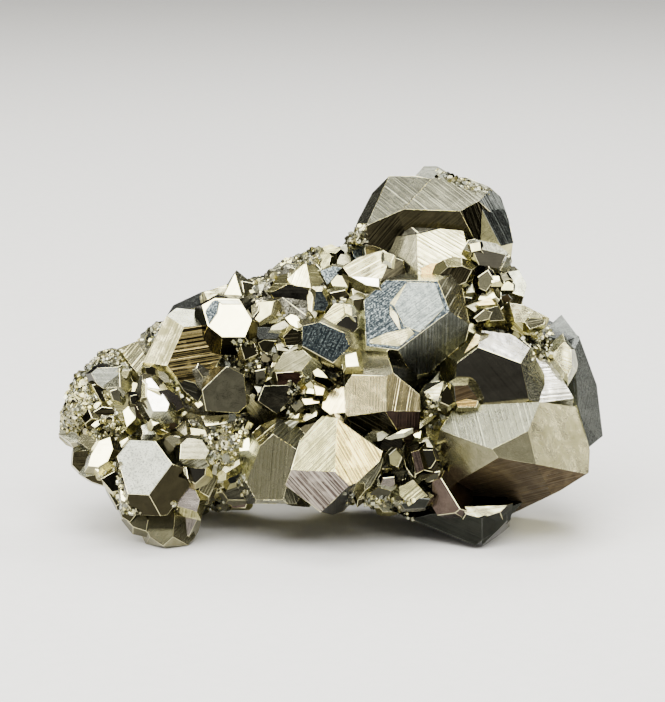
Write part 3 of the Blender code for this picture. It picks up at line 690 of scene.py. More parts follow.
# The small crystals that are seen in the gaps between the large ones: the finish, the grain and its
# direction, how far the main face looks up and to the right, its outline in the picture and, for some, how
# near it stands in millimetres where what is behind it doesn't say this, the finish of its other faces and
# the bends of its outline edges
SMALL = [
    # A pale sliver on the right foot: a painted glint
    ("bright", "smooth", 10, 12, 4, [(461, 507), (507, 505), (500, 512), (481, 518), (466, 514)], 9.3,
     "night"),
    ("night", "smooth", -24, -15, 12, [(481, 519), (514, 505), (519, 510), (498, 530), (482, 547)], None,
     "night",
     {4: 105}),
    ("ash", "smooth", 80, 5, 50, [(574, 351), (580, 339), (597, 385), (602, 434), (590, 446), (578, 404)],
     None, "ash"),
    ("moss", "mirror", 0, 20, 30, [(242, 281), (256, 284), (252, 299), (245, 300)]),
    ("dusk", "medium", -63, 25, 42,
     [(479, 203), (489, 190), (500, 197), (509, 220), (513, 243), (501, 246)]),
    ("bright", "smooth", 0, 25, -10, [(490, 276), (499, 276), (500, 281), (492, 283)]),
    ("olive", "smooth", 20, 10, 0, [(499, 273), (506, 273), (510, 279), (503, 281)]),
    ("champagne", "mirror", 0, 15, 10, [(502, 285), (508, 281), (513, 284), (513, 290), (501, 290)]),
    ("bright", "smooth", 40, 30, -15, [(483, 291), (492, 288), (496, 297), (489, 300), (478, 300)]),
    ("olive", "smooth", 0, 5, 15, [(491, 295), (497, 288), (501, 292), (501, 299), (497, 302)]),
    ("brown", "mirror", 0, -5, 10, [(500, 296), (508, 294), (512, 299), (505, 305)]),
    ("olive", "medium", 10, 5, 20, [(525, 322), (530, 318), (545, 319), (544, 324), (530, 329)]),
    ("silver", "smooth", 0, 18, -10, [(466, 280), (472, 277), (478, 284), (475, 292), (466, 293)]),
    ("bright", "smooth", 30, 20, -10, [(456, 294), (465, 283), (471, 285), (468, 292)]),
    ("umber", "medium", 60, -5, 0, [(438, 276), (448, 267), (462, 266), (472, 270), (466, 282), (452, 288),
                                    (441, 285)]),
    ("champagne", "mirror", 0, 25, 0, [(470, 244), (480, 242), (481, 250), (472, 252)]),
    ("silver", "smooth", 0, 15, 20, [(499, 262), (508, 256), (511, 266), (504, 269)]),
    ("black", "mirror", 0, -10, 0, [(459, 296), (472, 298), (470, 306), (463, 304)]),
    ("olive", "medium", 20, 20, 0, [(466, 306), (476, 302), (485, 308), (475, 312)]),
    ("olive", "smooth", 0, 0, 0, [(474, 318), (484, 310), (492, 312), (489, 319), (478, 322)]),
    ("gold", "smooth", 0, 10, -20, [(459, 362), (466, 350), (473, 333), (480, 336), (478, 346)]),
    ("champagne", "smooth", 0, 20, 0, [(469, 324), (480, 320), (482, 330), (475, 334), (468, 331)]),
    ("champagne", "smooth", 10, 40, -5, [(322, 247), (331, 244), (341, 249), (336, 253), (325, 252)]),
    ("champagne", "smooth", 60, 25, -10,
     [(316, 254), (325, 251), (331, 256), (329, 265), (322, 270), (316, 265)]),
    ("olive", "smooth", 0, 15, 0, [(331, 253), (350, 255), (351, 262), (340, 267), (331, 262)]),
    ("grey", "smooth", 0, 30, 10, [(340, 246), (352, 243), (353, 251), (342, 255)]),
    ("navy", "mirror", 0, 5, 0, [(352, 250), (362, 248), (363, 256), (354, 260)]),
    ("cream", "smooth", 60, 18, -10, [(364, 244), (372, 246), (378, 253), (366, 256)]),
    ("champagne", "smooth", 30, 25, 0, [(384, 252), (394, 255), (391, 263), (385, 260)]),
    ("champagne", "smooth", 0, 25, -10,
     [(331, 282), (337, 275), (346, 277), (357, 281), (352, 287), (333, 286)]),
    ("umber", "mirror", 0, -5, 0, [(330, 293), (345, 290), (350, 296), (346, 304), (336, 302)]),
    ("olive", "medium", 5, 15, -10, [(352, 289), (375, 287), (368, 297), (354, 298)]),
    ("umber", "smooth", 0, -10, 10, [(353, 300), (364, 298), (367, 304), (358, 311), (353, 307)]),
    ("champagne", "mirror", 0, 30, -10, [(344, 305), (352, 308), (352, 316), (345, 313)]),
    ("black", "mirror", 0, 2, 0, [(335, 325), (345, 316), (357, 316), (358, 328), (352, 334), (342, 332)]),
    ("champagne", "mirror", 0, 20, -25, [(309, 291), (313, 295), (311, 312), (308, 310), (307, 297)]),
    ("bright", "mirror", 0, 25, 0,
     [(285, 318), (291, 314), (297, 316), (302, 323), (298, 329), (290, 324)]),
    ("brown", "mirror", 0, -5, 0, [(251, 319), (262, 321), (270, 318), (265, 325), (256, 326)]),
    ("olive", "smooth", 10, 25, 0, [(272, 326), (285, 320), (291, 325), (281, 330), (270, 330)]),
    ("olive", "smooth", 0, 5, 10, [(274, 316), (281, 314), (284, 320), (277, 322)]),
    ("bright", "smooth", 60, 25, -20, [(251, 306), (260, 300), (258, 311), (252, 318)]),
    ("umber", "medium", 5, -5, 5, [(283, 337), (292, 328), (300, 331), (300, 345), (286, 346)]),
    ("olive", "smooth", 0, 25, 0, [(276, 344), (284, 343), (300, 347), (290, 352), (278, 350)]),
    ("umber", "coarse", 48, 5, -5, [(258, 343), (264, 340), (276, 341), (269, 355), (262, 351)]),
    ("umber", "smooth", 0, 0, 0, [(240, 344), (254, 343), (258, 354), (245, 360)]),
    ("slate", "mirror", 0, -8, 0, [(255, 371), (265, 369), (266, 386), (256, 384)]),
    ("grey", "smooth", 0, 20, -10, [(254, 386), (267, 388), (258, 393)]),
    ("bright", "coarse", 60, 20, -25, [(271, 367), (275, 355), (284, 352), (280, 365)]),
    ("maroon", "mirror", 0, -8, 0, [(276, 373), (300, 371), (303, 377), (297, 384), (278, 383)]),
    ("champagne", "smooth", 40, 25, 10, [(308, 362), (322, 371), (328, 378), (315, 376)]),
    ("cream", "mirror", 0, 18, -4, [(295, 386), (300, 382), (306, 387), (304, 394), (299, 393)]),
    ("bright", "mirror", 0, 25, 5, [(306, 393), (309, 385), (314, 384), (314, 394)]),
    ("cream", "mirror", 0, 18, -6, [(314, 386), (321, 380), (327, 380), (323, 395), (316, 395)]),
    ("cream", "mirror", 0, 18, 0, [(300, 396), (310, 393), (320, 396), (319, 403), (305, 405)]),
    ("olive", "smooth", 0, 5, 0, [(289, 403), (299, 397), (303, 406), (296, 412)]),
    ("bright", "coarse", 40, 17, 0, [(285, 412), (300, 410), (298, 418), (288, 418)]),
    ("bright", "coarse", 24, 16, 0, [(297, 420), (304, 412), (318, 410), (322, 413), (306, 421)]),
    ("grey", "medium", 30, 10, 0, [(280, 425), (290, 420), (299, 422), (292, 429)]),
    ("cream", "fine", 62, 18, -12,
     [(322, 408), (326, 382), (336, 368), (347, 368), (347, 412), (330, 414)]),
    # Thin pale crescents under the dome and along its lower edge: painted highlights
    ("bright", "mirror", 0, 30, 0, [(366, 437), (373, 430), (381, 429), (388, 433), (377, 433)]),
    ("bright", "mirror", 0, 30, 10, [(395, 434), (402, 430), (413, 428), (404, 433)]),
    ("bright", "smooth", 30, 15, -5, [(410, 430), (420, 421), (437, 415), (428, 423), (416, 431)]),
    ("umber", "smooth", 50, 0, 5, [(439, 397), (447, 385), (453, 392), (455, 402), (449, 406), (440, 402)]),
    ("champagne", "mirror", 0, 20, 0, [(437, 402), (449, 407), (450, 411), (438, 410)]),
    ("peach", "medium", 5, 2, 0, [(456, 402), (466, 399), (478, 401), (476, 407), (458, 407)]),
    ("plum", "coarse", -75, 0, -20, [(411, 452), (419, 450), (424, 470), (416, 474)]),
    ("slate", "mirror", 0, -5, 10, [(419, 450), (433, 450), (436, 460), (431, 468), (423, 469)]),
    ("slate", "smooth", 10, -10, 0, [(420, 476), (440, 471), (438, 478), (428, 483)]),
    ("mauve", "mirror", 0, -8, 0, [(383, 478), (394, 477), (395, 484), (390, 489), (380, 486)]),
    ("olive", "smooth", 0, 0, 0, [(395, 471), (405, 468), (404, 478), (396, 484)]),
    ("night", "smooth", 0, -15, 10, [(401, 504), (412, 498), (430, 499), (425, 508), (405, 509)]),
    ("silver", "smooth", 20, 10, 0, [(378, 506), (385, 502), (395, 503), (396, 512), (383, 512)]),
    ("grey", "coarse", 58, 0, 20, [(364, 478), (372, 463), (384, 456), (380, 470), (371, 486), (365, 491)]),
    ("bright", "mirror", 0, 25, 0, [(355, 495), (362, 488), (364, 498), (358, 500)]),
    ("olive", "smooth", 0, 10, 0, [(418, 441), (428, 439), (433, 447), (425, 450)]),
    # A pale speck under the dome: a painted highlight
    ("bright", "smooth", 0, 20, 0, [(413, 434), (421, 431), (420, 438), (415, 437)]),
    ("slate", "mirror", 0, -5, 0, [(110, 391), (120, 388), (121, 403), (113, 400)]),
    ("umber", "smooth", 0, 0, -10, [(92, 385), (99, 384), (109, 394), (110, 402), (101, 402)]),
    ("champagne", "mirror", 0, 10, 0, [(122, 371), (130, 370), (127, 378), (122, 377)]),
    ("champagne", "mirror", 0, 20, -10, [(129, 391), (133, 382), (137, 383), (137, 394)]),
    ("champagne", "smooth", 70, 15, -30, [(141, 398), (142, 380), (146, 384), (146, 397)]),
    ("mauve", "mirror", 0, 0, 25, [(158, 391), (168, 389), (180, 397), (184, 408), (171, 414)]),
    ("umber", "mirror", 0, 0, 0, [(145, 368), (152, 366), (160, 370), (156, 382), (147, 377)]),
    ("olive", "smooth", 20, 10, 0, [(158, 371), (167, 372), (170, 382), (161, 384)]),
    ("night", "smooth", -45, -5, 20, [(162, 386), (175, 387), (188, 401), (177, 402)]),
    ("bright", "smooth", 75, 15, -10, [(123, 411), (132, 403), (138, 413), (135, 419), (127, 427)]),
    ("brown", "mirror", 0, -10, 20, [(134, 405), (143, 400), (142, 421), (136, 417)]),
    ("slate", "mirror", 0, -5, 0, [(130, 396), (140, 394), (137, 405), (131, 404)]),
    ("bright", "smooth", 20, 30, 0, [(89, 406), (100, 401), (103, 405), (92, 411)]),
    ("umber", "smooth", 0, -5, 0, [(92, 413), (102, 407), (112, 408), (117, 413), (103, 418), (92, 418)]),
    ("umber", "mirror", 0, 0, -20, [(79, 413), (88, 408), (92, 418), (85, 424)]),
    ("bright", "smooth", 30, 30, 0, [(91, 425), (101, 417), (105, 421), (95, 428)]),
    ("bright", "mirror", 0, 17, 0, [(156, 433), (161, 429), (169, 433), (160, 441)]),
    ("olive", "smooth", 10, 10, 0, [(160, 442), (170, 435), (180, 437), (178, 446), (166, 451)]),
    ("brown", "mirror", 0, -10, 0, [(161, 421), (173, 414), (177, 428), (168, 431)]),
    ("silver", "smooth", 60, 15, 0, [(141, 426), (148, 422), (156, 433), (151, 440), (144, 437)]),
    ("bright", "smooth", 0, 15, 0, [(150, 416), (168, 413), (162, 421), (153, 426)]),
    ("bright", "mirror", 0, 25, 0, [(119, 442), (128, 437), (128, 445), (121, 449)]),
    ("olive", "smooth", 40, 15, 0, [(176, 428), (184, 420), (190, 425), (187, 436), (180, 435)]),
    ("moss", "fine", 62, -5, 15, [(208, 463), (218, 463), (221, 470), (215, 485), (209, 497), (199, 491)]),
    ("black", "mirror", 0, 2, -5, [(182, 461), (207, 461), (205, 475), (195, 484), (186, 476)]),
    ("bright", "mirror", 0, 20, -20, [(182, 466), (186, 467), (188, 479), (184, 474)]),
    ("bright", "smooth", 25, 30, 0, [(222, 470), (226, 464), (239, 459), (240, 464), (226, 473)]),
    ("night", "smooth", 0, 5, 0, [(226, 476), (243, 469), (244, 480), (230, 484)]),
    ("slate", "smooth", 20, -10, 0, [(222, 491), (240, 483), (250, 492), (246, 500), (228, 500)]),
    ("plum", "medium", 20, -15, 0, [(228, 500), (248, 500), (245, 508), (232, 508)]),
    ("slate", "smooth", 0, 0, -20, [(101, 479), (117, 470), (124, 490), (112, 492)]),
    ("bright", "smooth", 0, 20, -10, [(120, 489), (127, 495), (126, 502), (121, 500)]),
    ("mauve", "smooth", 80, 5, 10, [(177, 509), (196, 511), (197, 520), (189, 536), (178, 534)]),
    ("umber", "mirror", 0, -15, 0,
     [(149, 533), (160, 531), (171, 533), (172, 540), (163, 545), (153, 541)]),
    ("bright", "smooth", 10, 17, 0, [(201, 416), (240, 414), (244, 421), (206, 426)]),
    ("champagne", "smooth", 10, 20, 0, [(190, 428), (205, 430), (208, 437), (192, 437)]),
    ("bright", "mirror", 0, 20, 0, [(237, 440), (249, 438), (250, 450), (240, 451)]),
    ("frosted", "smooth", 0, 15, -12,
     [(91, 373), (97, 368), (118, 367), (120, 386), (106, 390), (97, 384)]),
    ("bright", "smooth", 0, 22, -8, [(99, 441), (110, 437), (113, 449), (108, 461), (98, 467), (88, 466),
                                     (91, 455)]),
    ("umber", "mirror", 0, -20, -10,
     [(84, 477), (100, 474), (118, 477), (118, 488), (104, 486), (92, 482)]),
    ("moss", "smooth", 60, 8, -5, [(139, 512), (151, 502), (172, 498), (175, 515), (173, 537), (163, 546),
                                   (150, 537)]),
    ("umber", "smooth", 0, -12, -15, [(116, 500), (128, 503), (138, 512), (130, 522), (122, 517)], 6.5,
     "umber"),
    ("moss", "smooth", 60, 5, -15, [(126, 507), (141, 509), (148, 520), (146, 531), (133, 527), (124, 517)],
     6.0, "moss"),
    ("moss", "smooth", 30, 0, -20, [(107, 490), (119, 488), (125, 500), (116, 506)], 8.0, "umber"),
    ("grey", "smooth", 0, 5, -30, [(55, 434), (62, 430), (76, 432), (82, 441), (70, 443)], -3.5, "olive"),
    # A near-white sliver beside the white heart: a painted highlight
    ("flash", "smooth", 0, 20, -8, [(146, 379), (151, 378), (159, 388), (169, 404), (167, 411), (153, 411),
                                    (147, 396)]),
    ("slate", "fine", -20, -2, 8, [(176, 378), (195, 383), (203, 393), (198, 402), (184, 391)]),
    ("champagne", "smooth", 40, 20, -5, [(252, 317), (257, 302), (274, 301), (271, 314), (259, 322)]),
    ("cream", "smooth", 0, 18, 15, [(274, 301), (281, 315), (271, 315)]),
    ("ash", "mirror", 0, 0, 5, [(251, 328), (271, 327), (289, 326), (276, 339), (259, 339)]),
    # A near-white strip along the lower edge of the bright blade: a painted highlight
    ("flash", "smooth", 0, 18, -5, [(350, 276), (362, 277), (379, 278), (379, 287), (366, 285)]),
]

# Thin growth layers on the main face of a crystal, one of them a painted reflection: the crystal, the
# finish, the grain and its direction, and the outline in the picture
LAYERS = [
    ("sun_face", "blue", "scratched", 60, [(203, 306), (215, 300), (224, 303), (217, 313), (214, 328),
                                           (209, 325)]),
    ("sun_face", "silver", "smooth", 0, [(217, 300), (238, 300), (241, 304), (222, 304)]),
    ("bright_brow", "peach", "smooth", -30, [(421, 268), (432, 263), (445, 263), (452, 271), (441, 278),
                                             (421, 277)]),
    # The lighter right part of the blue plate: a painted reflection
    ("blue_plate", "steel", "scratched", 35, [(407, 282), (435, 283), (444, 308), (420, 332), (404, 326),
                                              (394, 306)]),
    ("blue_plate", "straw", "scratched", 20, [(370, 340), (386, 333), (409, 328), (414, 333), (400, 346),
                                                  (370, 343)]),
    ("blue_plate", "straw", "smooth", 60, [(405, 284), (411, 283), (405, 298), (396, 307), (390, 303)]),
    ("blue_plate", "straw", "smooth", 60, [(390, 303), (396, 306), (398, 316), (406, 326), (399, 329),
                                           (390, 315)]),
]


def linear(hex_colour):
    """An sRGB hex colour as linear values."""
    parts = [int(hex_colour[i:i + 2], 16) / 255 for i in (1, 3, 5)]
    return tuple(p / 12.92 if p <= 0.04045 else ((p + 0.055) / 1.055) ** 2.4 for p in parts)


def add(tree, kind, settings=(), links=()):
    """A shader node of a kind, with its settings, and links from sockets of other nodes to its inputs."""
    node = tree.nodes.new(kind)
    for name, value in dict(settings).items():
        if isinstance(name, str) and hasattr(node, name):
            setattr(node, name, value)
        else:
            node.inputs[name].default_value = value
    for name, source in dict(links).items():
        tree.links.new(source, node.inputs[name])
    return node


@dataclass
class Finish:
    """How a face of pyrite looks: its colours, its gloss, and how strong its marks are.

    ridge and swell are heights, and patch is the size of the blotches of tarnish, all in millimetres.
    """

    light: str
    dark: str
    rough: float
    stripes: float = 0.4
    mottle: float = 0.3
    pits: float = 0.3
    ridge: float = 0.04
    swell: float = 0.10
    patch: float = 2.5


# Pyrite is iron sulphide with a metallic lustre, pale brass-yellow where fresh. Its faces grew in fine
# parallel steps, so they show as mirrors crossed by straight stripes, and a thin film of tarnish turns some
# of them olive, brown, mauve or blue. Besides the tarnish, the finishes' colours are set to how light or
# dark each face looks from the front, so they paint in much of the reflected light and shade.
FINISHES = {
    # Fresh faces, from a pale one painted for faces that mirror the light straight back to grey ones,
    # dulled by stripes and pits and painted darker for faces that mirror less light
    "bright": Finish("#F4EDB9", "#AAA470", 0.19, stripes=0.55, mottle=0.2, pits=0.1, swell=0.22),
    "silver": Finish("#B4B49B", "#84846A", 0.24, mottle=0.4, pits=0.4, ridge=0.03),
    "frosted": Finish("#7C7D70", "#53544A", 0.28, mottle=0.25, pits=0.6, ridge=0.04),
    "grey": Finish("#86856F", "#3C3B2D", 0.22, stripes=0.8, mottle=0.2, pits=0.4, ridge=0.06),
    # Faces under the thinnest film, which keep their shine and look warm and yellow
    "champagne": Finish("#C4BE88", "#757049", 0.21, stripes=0.6, mottle=0.3, pits=0.15, swell=0.2),
    "cream": Finish("#FBEBAE", "#CBBA80", 0.21, stripes=0.45, mottle=0.3, pits=0.1, swell=0.22),
    "butter": Finish("#D0BE76", "#8A7A42", 0.22, stripes=0.6, mottle=0.4, pits=0.15, swell=0.2),
    "gold": Finish("#CDB978", "#181509", 0.15, stripes=1.5, mottle=0.1, pits=0.1, ridge=0.06),
    # Older tarnish, which takes the shine off and looks green to brown. The darkest, umber and brown, are
    # also painted shade, for faces that turn down or away from the light
    "olive": Finish("#8C886C", "#55533C", 0.23, stripes=0.4, mottle=0.3, pits=0.3),
    "moss": Finish("#625F48", "#3E3C28", 0.22, stripes=0.4, mottle=0.3, pits=0.3),
    "straw": Finish("#ADA67F", "#78734F", 0.24, mottle=0.7, pits=0.3, ridge=0.03),
    "umber": Finish("#2E2B1E", "#18160E", 0.14, stripes=0.5, mottle=0.3, pits=0.2),
    "brown": Finish("#4A3F2D", "#2B2318", 0.42, stripes=0.5, mottle=0.3, pits=0.1),
    # Films just thick enough to tint the metal, as on heated steel
    "mauve": Finish("#A79E92", "#473D39", 0.19, stripes=0.9, mottle=0.2, pits=0.15),
    "peach": Finish("#DDBA6C", "#A38648", 0.22, stripes=0.4, mottle=0.5, pits=0.2),
    "plum": Finish("#50453E", "#322A26", 0.20, stripes=0.5, mottle=0.3, pits=0.2),
    # Even, glossy faces painted dark: a painted reflection of the dark surroundings that they mirror
    "black": Finish("#37352E", "#4C4A40", 0.10, stripes=0.5, mottle=0.2, pits=0.2, ridge=0.01, swell=0.05),
    "slate": Finish("#37362C", "#25241D", 0.14, mottle=0.4, pits=0.2, ridge=0.03),
    "maroon": Finish("#2C2019", "#1B130E", 0.16, stripes=0.5, mottle=0.3, pits=0.2),
    # A painted highlight: a near-white colour for faces that throw the light straight at the eye
    "flash": Finish("#FFFCEE", "#E2DCC4", 0.26, stripes=0.4, mottle=0.5, pits=0.2, swell=0.25),
    # Grey faces at the specimen's outer edge, painted flat, dim and dark: painted shade for faces turned
    # away from the light
    "ash": Finish("#5B5D58", "#383A36", 0.22, stripes=0.6, mottle=0.4, pits=0.5, ridge=0.06),
    "night": Finish("#262723", "#171815", 0.16, mottle=0.3, pits=0.2),
    "dusk": Finish("#444641", "#252724", 0.17, stripes=0.6, mottle=0.3, pits=0.3, ridge=0.06),
    # Blue tarnish that is scratched and worn through in small spots, where the bare metal glints
    "steel": Finish("#72776F", "#4C524E", 0.23, stripes=0.4, mottle=0.3, pits=0.6, patch=1.0),
    "blue": Finish("#6A716E", "#1B2022", 0.20, stripes=1.0, mottle=0.8, pits=0.7, patch=0.35),
    "navy": Finish("#6C7470", "#1B2022", 0.17, stripes=1.0, mottle=0.8, pits=0.8, patch=0.35),
    # The base, where grains too small to draw one by one make a rough, glittering ground
    "granular": Finish("#5F5D50", "#2A281E", 0.24, mottle=0.7, pits=0.9, ridge=0.2, swell=0.5),
}

# The widths of the pits and the swell of the faces. The pits and stripes of the real crystals go finer than
# this, but finer ones would not show.
PIT_WIDTH = 0.3 * MM
SWELL_WIDTH = 4.5 * MM
# How deep a pit is as a share of a stripe's ridge, and the roughness of the cleanest and the most tarnished
# metal as shares of the finish's own
PIT_DEPTH = 0.35
GLOSS_SPREAD = (0.8, 1.5)


def pyrite_material(name, finish, light):
    """Metallic pyrite: growth stripes that run across each face, mottled tarnish, pits and a slight swell.

    A face says by "across" which way its stripes follow each other and how fine they are, and by "striped"
    how strong they are. The stripes darken the colour in bands as well as bumping the surface: the bands
    are a painted reflection of the growth steps, which mirror the light unevenly.
    """
    material = bpy.data.materials.new(f"pyrite_{name}")
    material.use_nodes = True
    tree = material.node_tree
    shader = tree.nodes["Principled BSDF"]
    place = add(tree, "ShaderNodeTexCoord").outputs["Object"]
    across = add(tree, "ShaderNodeAttribute", {"attribute_name": "across"}).outputs["Vector"]
    striped = add(tree, "ShaderNodeAttribute", {"attribute_name": "striped"}).outputs["Fac"]
    run = add(tree, "ShaderNodeVectorMath", {"operation": "DOT_PRODUCT"}, {0: place, 1: across})
    stripe = add(tree, "ShaderNodeTexNoise", {"noise_dimensions": "1D", "Scale": 1.0, "Detail": 5.0,
                                              "Roughness": 0.75}, {"W": run.outputs["Value"]})
    blotch = add(tree, "ShaderNodeTexNoise", {"Scale": 1 / (finish.patch * MM), "Detail": 6.0,
                                              "Roughness": 0.6, "Distortion": 0.6}, {"Vector": place})
    pit = add(tree, "ShaderNodeTexNoise", {"Scale": 1 / PIT_WIDTH, "Detail": 3.0, "Roughness": 0.7},
              {"Vector": place})
    swell = add(tree, "ShaderNodeTexNoise", {"Scale": 1 / SWELL_WIDTH, "Detail": 2.0, "Roughness": 0.5},
                {"Vector": place})
    # Crisp stripes that darken the colour in bands: a painted reflection of the growth steps
    crisp = add(tree, "ShaderNodeMapRange", {"From Min": 0.44, "From Max": 0.54},
                {"Value": stripe.outputs["Fac"]})
    cloud = add(tree, "ShaderNodeMapRange", {"From Min": 0.4, "From Max": 0.58},
                {"Value": blotch.outputs["Fac"]})
    speck = add(tree, "ShaderNodeMapRange", {"From Min": 0.5, "From Max": 0.68},
                {"Value": pit.outputs["Fac"]})
    fade = add(tree, "ShaderNodeMapRange", {"From Min": 0.35, "From Max": 0.5, "To Min": 0.45},
               {"Value": blotch.outputs["Fac"]})
    faded = add(tree, "ShaderNodeMath", {"operation": "MULTIPLY"}, {0: fade.outputs["Result"], 1: striped})
    lines = add(tree, "ShaderNodeMath", {"operation": "MULTIPLY"},
                {0: crisp.outputs["Result"], 1: faded.outputs["Value"]})
    shade = add(tree, "ShaderNodeMath", {"operation": "MULTIPLY", 1: finish.stripes},
                {0: lines.outputs["Value"]})
    mottled = add(tree, "ShaderNodeMath", {"operation": "MULTIPLY_ADD", 1: finish.mottle},
                  {0: cloud.outputs["Result"], 2: shade.outputs["Value"]})
    # What darkens the colour and roughens the metal: the painted stripes of reflection, the tarnish
    # blotches and the pits
    tarnish_and_painted_stripes = add(tree, "ShaderNodeMath", {"operation": "MULTIPLY_ADD", 1: finish.pits, "use_clamp": True},
               {0: speck.outputs["Result"], 2: mottled.outputs["Value"]})
    colour = add(tree, "ShaderNodeMix", {"data_type": "RGBA", 6: (*light, 1),
                                         7: (*linear(finish.dark), 1)}, {0: tarnish_and_painted_stripes.outputs["Value"]})
    tree.links.new(colour.outputs[2], shader.inputs["Base Color"])
    gloss = add(tree, "ShaderNodeMapRange", {"To Min": finish.rough * GLOSS_SPREAD[0],
                                             "To Max": finish.rough * GLOSS_SPREAD[1]},
                {"Value": tarnish_and_painted_stripes.outputs["Value"]})
    tree.links.new(gloss.outputs["Result"], shader.inputs["Roughness"])
    waves = add(tree, "ShaderNodeBump", {"Strength": 1.0, "Distance": finish.swell * MM},
                {"Height": swell.outputs["Fac"]})
    wide = add(tree, "ShaderNodeTexNoise", {"noise_dimensions": "1D", "Scale": 1.0, "Detail": 1.0},
               {"W": run.outputs["Value"]})
    soft = add(tree, "ShaderNodeMath", {"operation": "MULTIPLY"}, {0: wide.outputs["Fac"], 1: striped})
    holes = add(tree, "ShaderNodeMath", {"operation": "MULTIPLY_ADD", 1: finish.pits * PIT_DEPTH},
                {0: speck.outputs["Result"], 2: soft.outputs["Value"]})
    ridges = add(tree, "ShaderNodeBump", {"Strength": 1.0, "Distance": -finish.ridge * MM},
                 {"Height": holes.outputs["Value"], "Normal": waves.outputs["Normal"]})
    tree.links.new(ridges.outputs["Normal"], shader.inputs["Normal"])
    shader.inputs["Metallic"].default_value = 1
    return material


# The width of the paper's fibres, drawn coarser than it is so that they show, and how much paler the palest
# of them are
FIBRE_WIDTH = 2.5 * MM
FIBRE_LIGHT = 1.09


def paper(ground):
    """Matt white background paper, rolled from pulp: a soft, faintly uneven ground without gloss."""
    material = bpy.data.materials.new("background_paper")
    material.use_nodes = True
    tree = material.node_tree
    shader = tree.nodes["Principled BSDF"]
    place = add(tree, "ShaderNodeTexCoord").outputs["Object"]
    fibre = add(tree, "ShaderNodeTexNoise", {"Scale": 1 / FIBRE_WIDTH, "Detail": 4.0}, {"Vector": place})
    paler = [min(c * FIBRE_LIGHT, 1.0) for c in ground]
    colour = add(tree, "ShaderNodeMix", {"data_type": "RGBA", 6: (*ground, 1), 7: (*paler, 1)},
                 {0: fibre.outputs["Fac"]})
    tree.links.new(colour.outputs[2], shader.inputs["Base Color"])
    shader.inputs["Roughness"].default_value = 0.9
    shader.inputs["Specular IOR Level"].default_value = 0.2
    return material


def studio():
    """The room round the specimen: dim at the level of the eye and lighter overhead."""
    world = bpy.data.worlds.new("studio")
    world.use_nodes = True
    tree = world.node_tree
    way = add(tree, "ShaderNodeTexCoord").outputs["Generated"]
    height = add(tree, "ShaderNodeSeparateXYZ", {}, {0: way}).outputs["Z"]
    rise = add(tree, "ShaderNodeMapRange", {"From Min": 0.05, "From Max": 0.8}, {"Value": height})
    colour = add(tree, "ShaderNodeMix", {"data_type": "RGBA", 6: (*linear(ROOM_LOW), 1),
                                         7: (*linear(ROOM_HIGH), 1)}, {0: rise.outputs["Result"]})
    tree.links.new(colour.outputs[2], tree.nodes["Background"].inputs["Color"])
    tree.nodes["Background"].inputs["Strength"].default_value = ROOM_STRENGTH
    return world


# A direction shorter than this, in metres times metres, is none
TINY = 1e-6


def in_picture(normal, place, degrees):
    """The direction in a face that is seen at this angle in the picture."""
    turn = math.radians(degrees)
    seen = RIGHT * math.cos(turn) + UP * math.sin(turn)
    along = normal.cross((place - EYE).cross(seen))
    return along.normalized() if along.length > TINY else normal.orthogonal().normalized()


def steps(chance, low, high, pitch, depth):
    """Where the growth steps of a face change, and how deep the face lies there."""
    place = low
    level = chance.uniform(0, depth)
    points = []
    while place < high:
        place += pitch * chance.uniform(*STEP_SPREAD)
        points.append((place, level))
        deeper = chance.uniform(0, depth)
        place += max(abs(deeper - level) / STEP_SLOPE, LEAST_SLOPE)
        level = deeper
        points.append((place, level))
    return points


def depth_at(points, place):
    """How deep a stepped face lies at a place across it."""
    before = points[0]
    for point in points:
        if point[0] >= place:
            span = point[0] - before[0]
            share = (place - before[0]) / span if span > 1e-9 else 1.0
            return before[1] + (point[1] - before[1]) * share if point is not before else point[1]
        before = point
    return points[-1][1]


def carve(face, normal, along, chance, grain):
    """Cut a face into growth steps along a direction, each a little lower or higher than the one before."""
    pitch, depth = (v * MM for v in STEPS[grain])
    across = normal.cross(along).normalized()
    spans = [v.co.dot(across) for v in face.verts]
    points = steps(chance, min(spans), max(spans), pitch, depth)
    places = [p for p, _ in points if min(abs(p - s) for s in spans) > 2e-6 and min(spans) < p < max(spans)]
    cuts = {place: [] for place in places}
    for loop in list(face.loops):
        vert, edge = loop.vert, loop.edge
        start, end = vert.co.dot(across), loop.link_loop_next.vert.co.dot(across)
        between = sorted((p for p in places if min(start, end) < p < max(start, end)), reverse=end < start)
        for place in between:
            _, new = bmesh.utils.edge_split(edge, vert, (place - start) / (end - start))
            cuts[place].append(new)
            vert, start = new, place
    strips = [face]
    for place in places:
        if len(cuts[place]) != 2:
            continue
        one, other = cuts[place]
        host = next((f for f in strips[::-1] if one in f.verts and other in f.verts), None)
        if host:
            strips.append(bmesh.utils.face_split(host, one, other)[0])
    for vert in {v for strip in strips for v in strip.verts}:
        vert.co -= normal * depth_at(points, vert.co.dot(across))


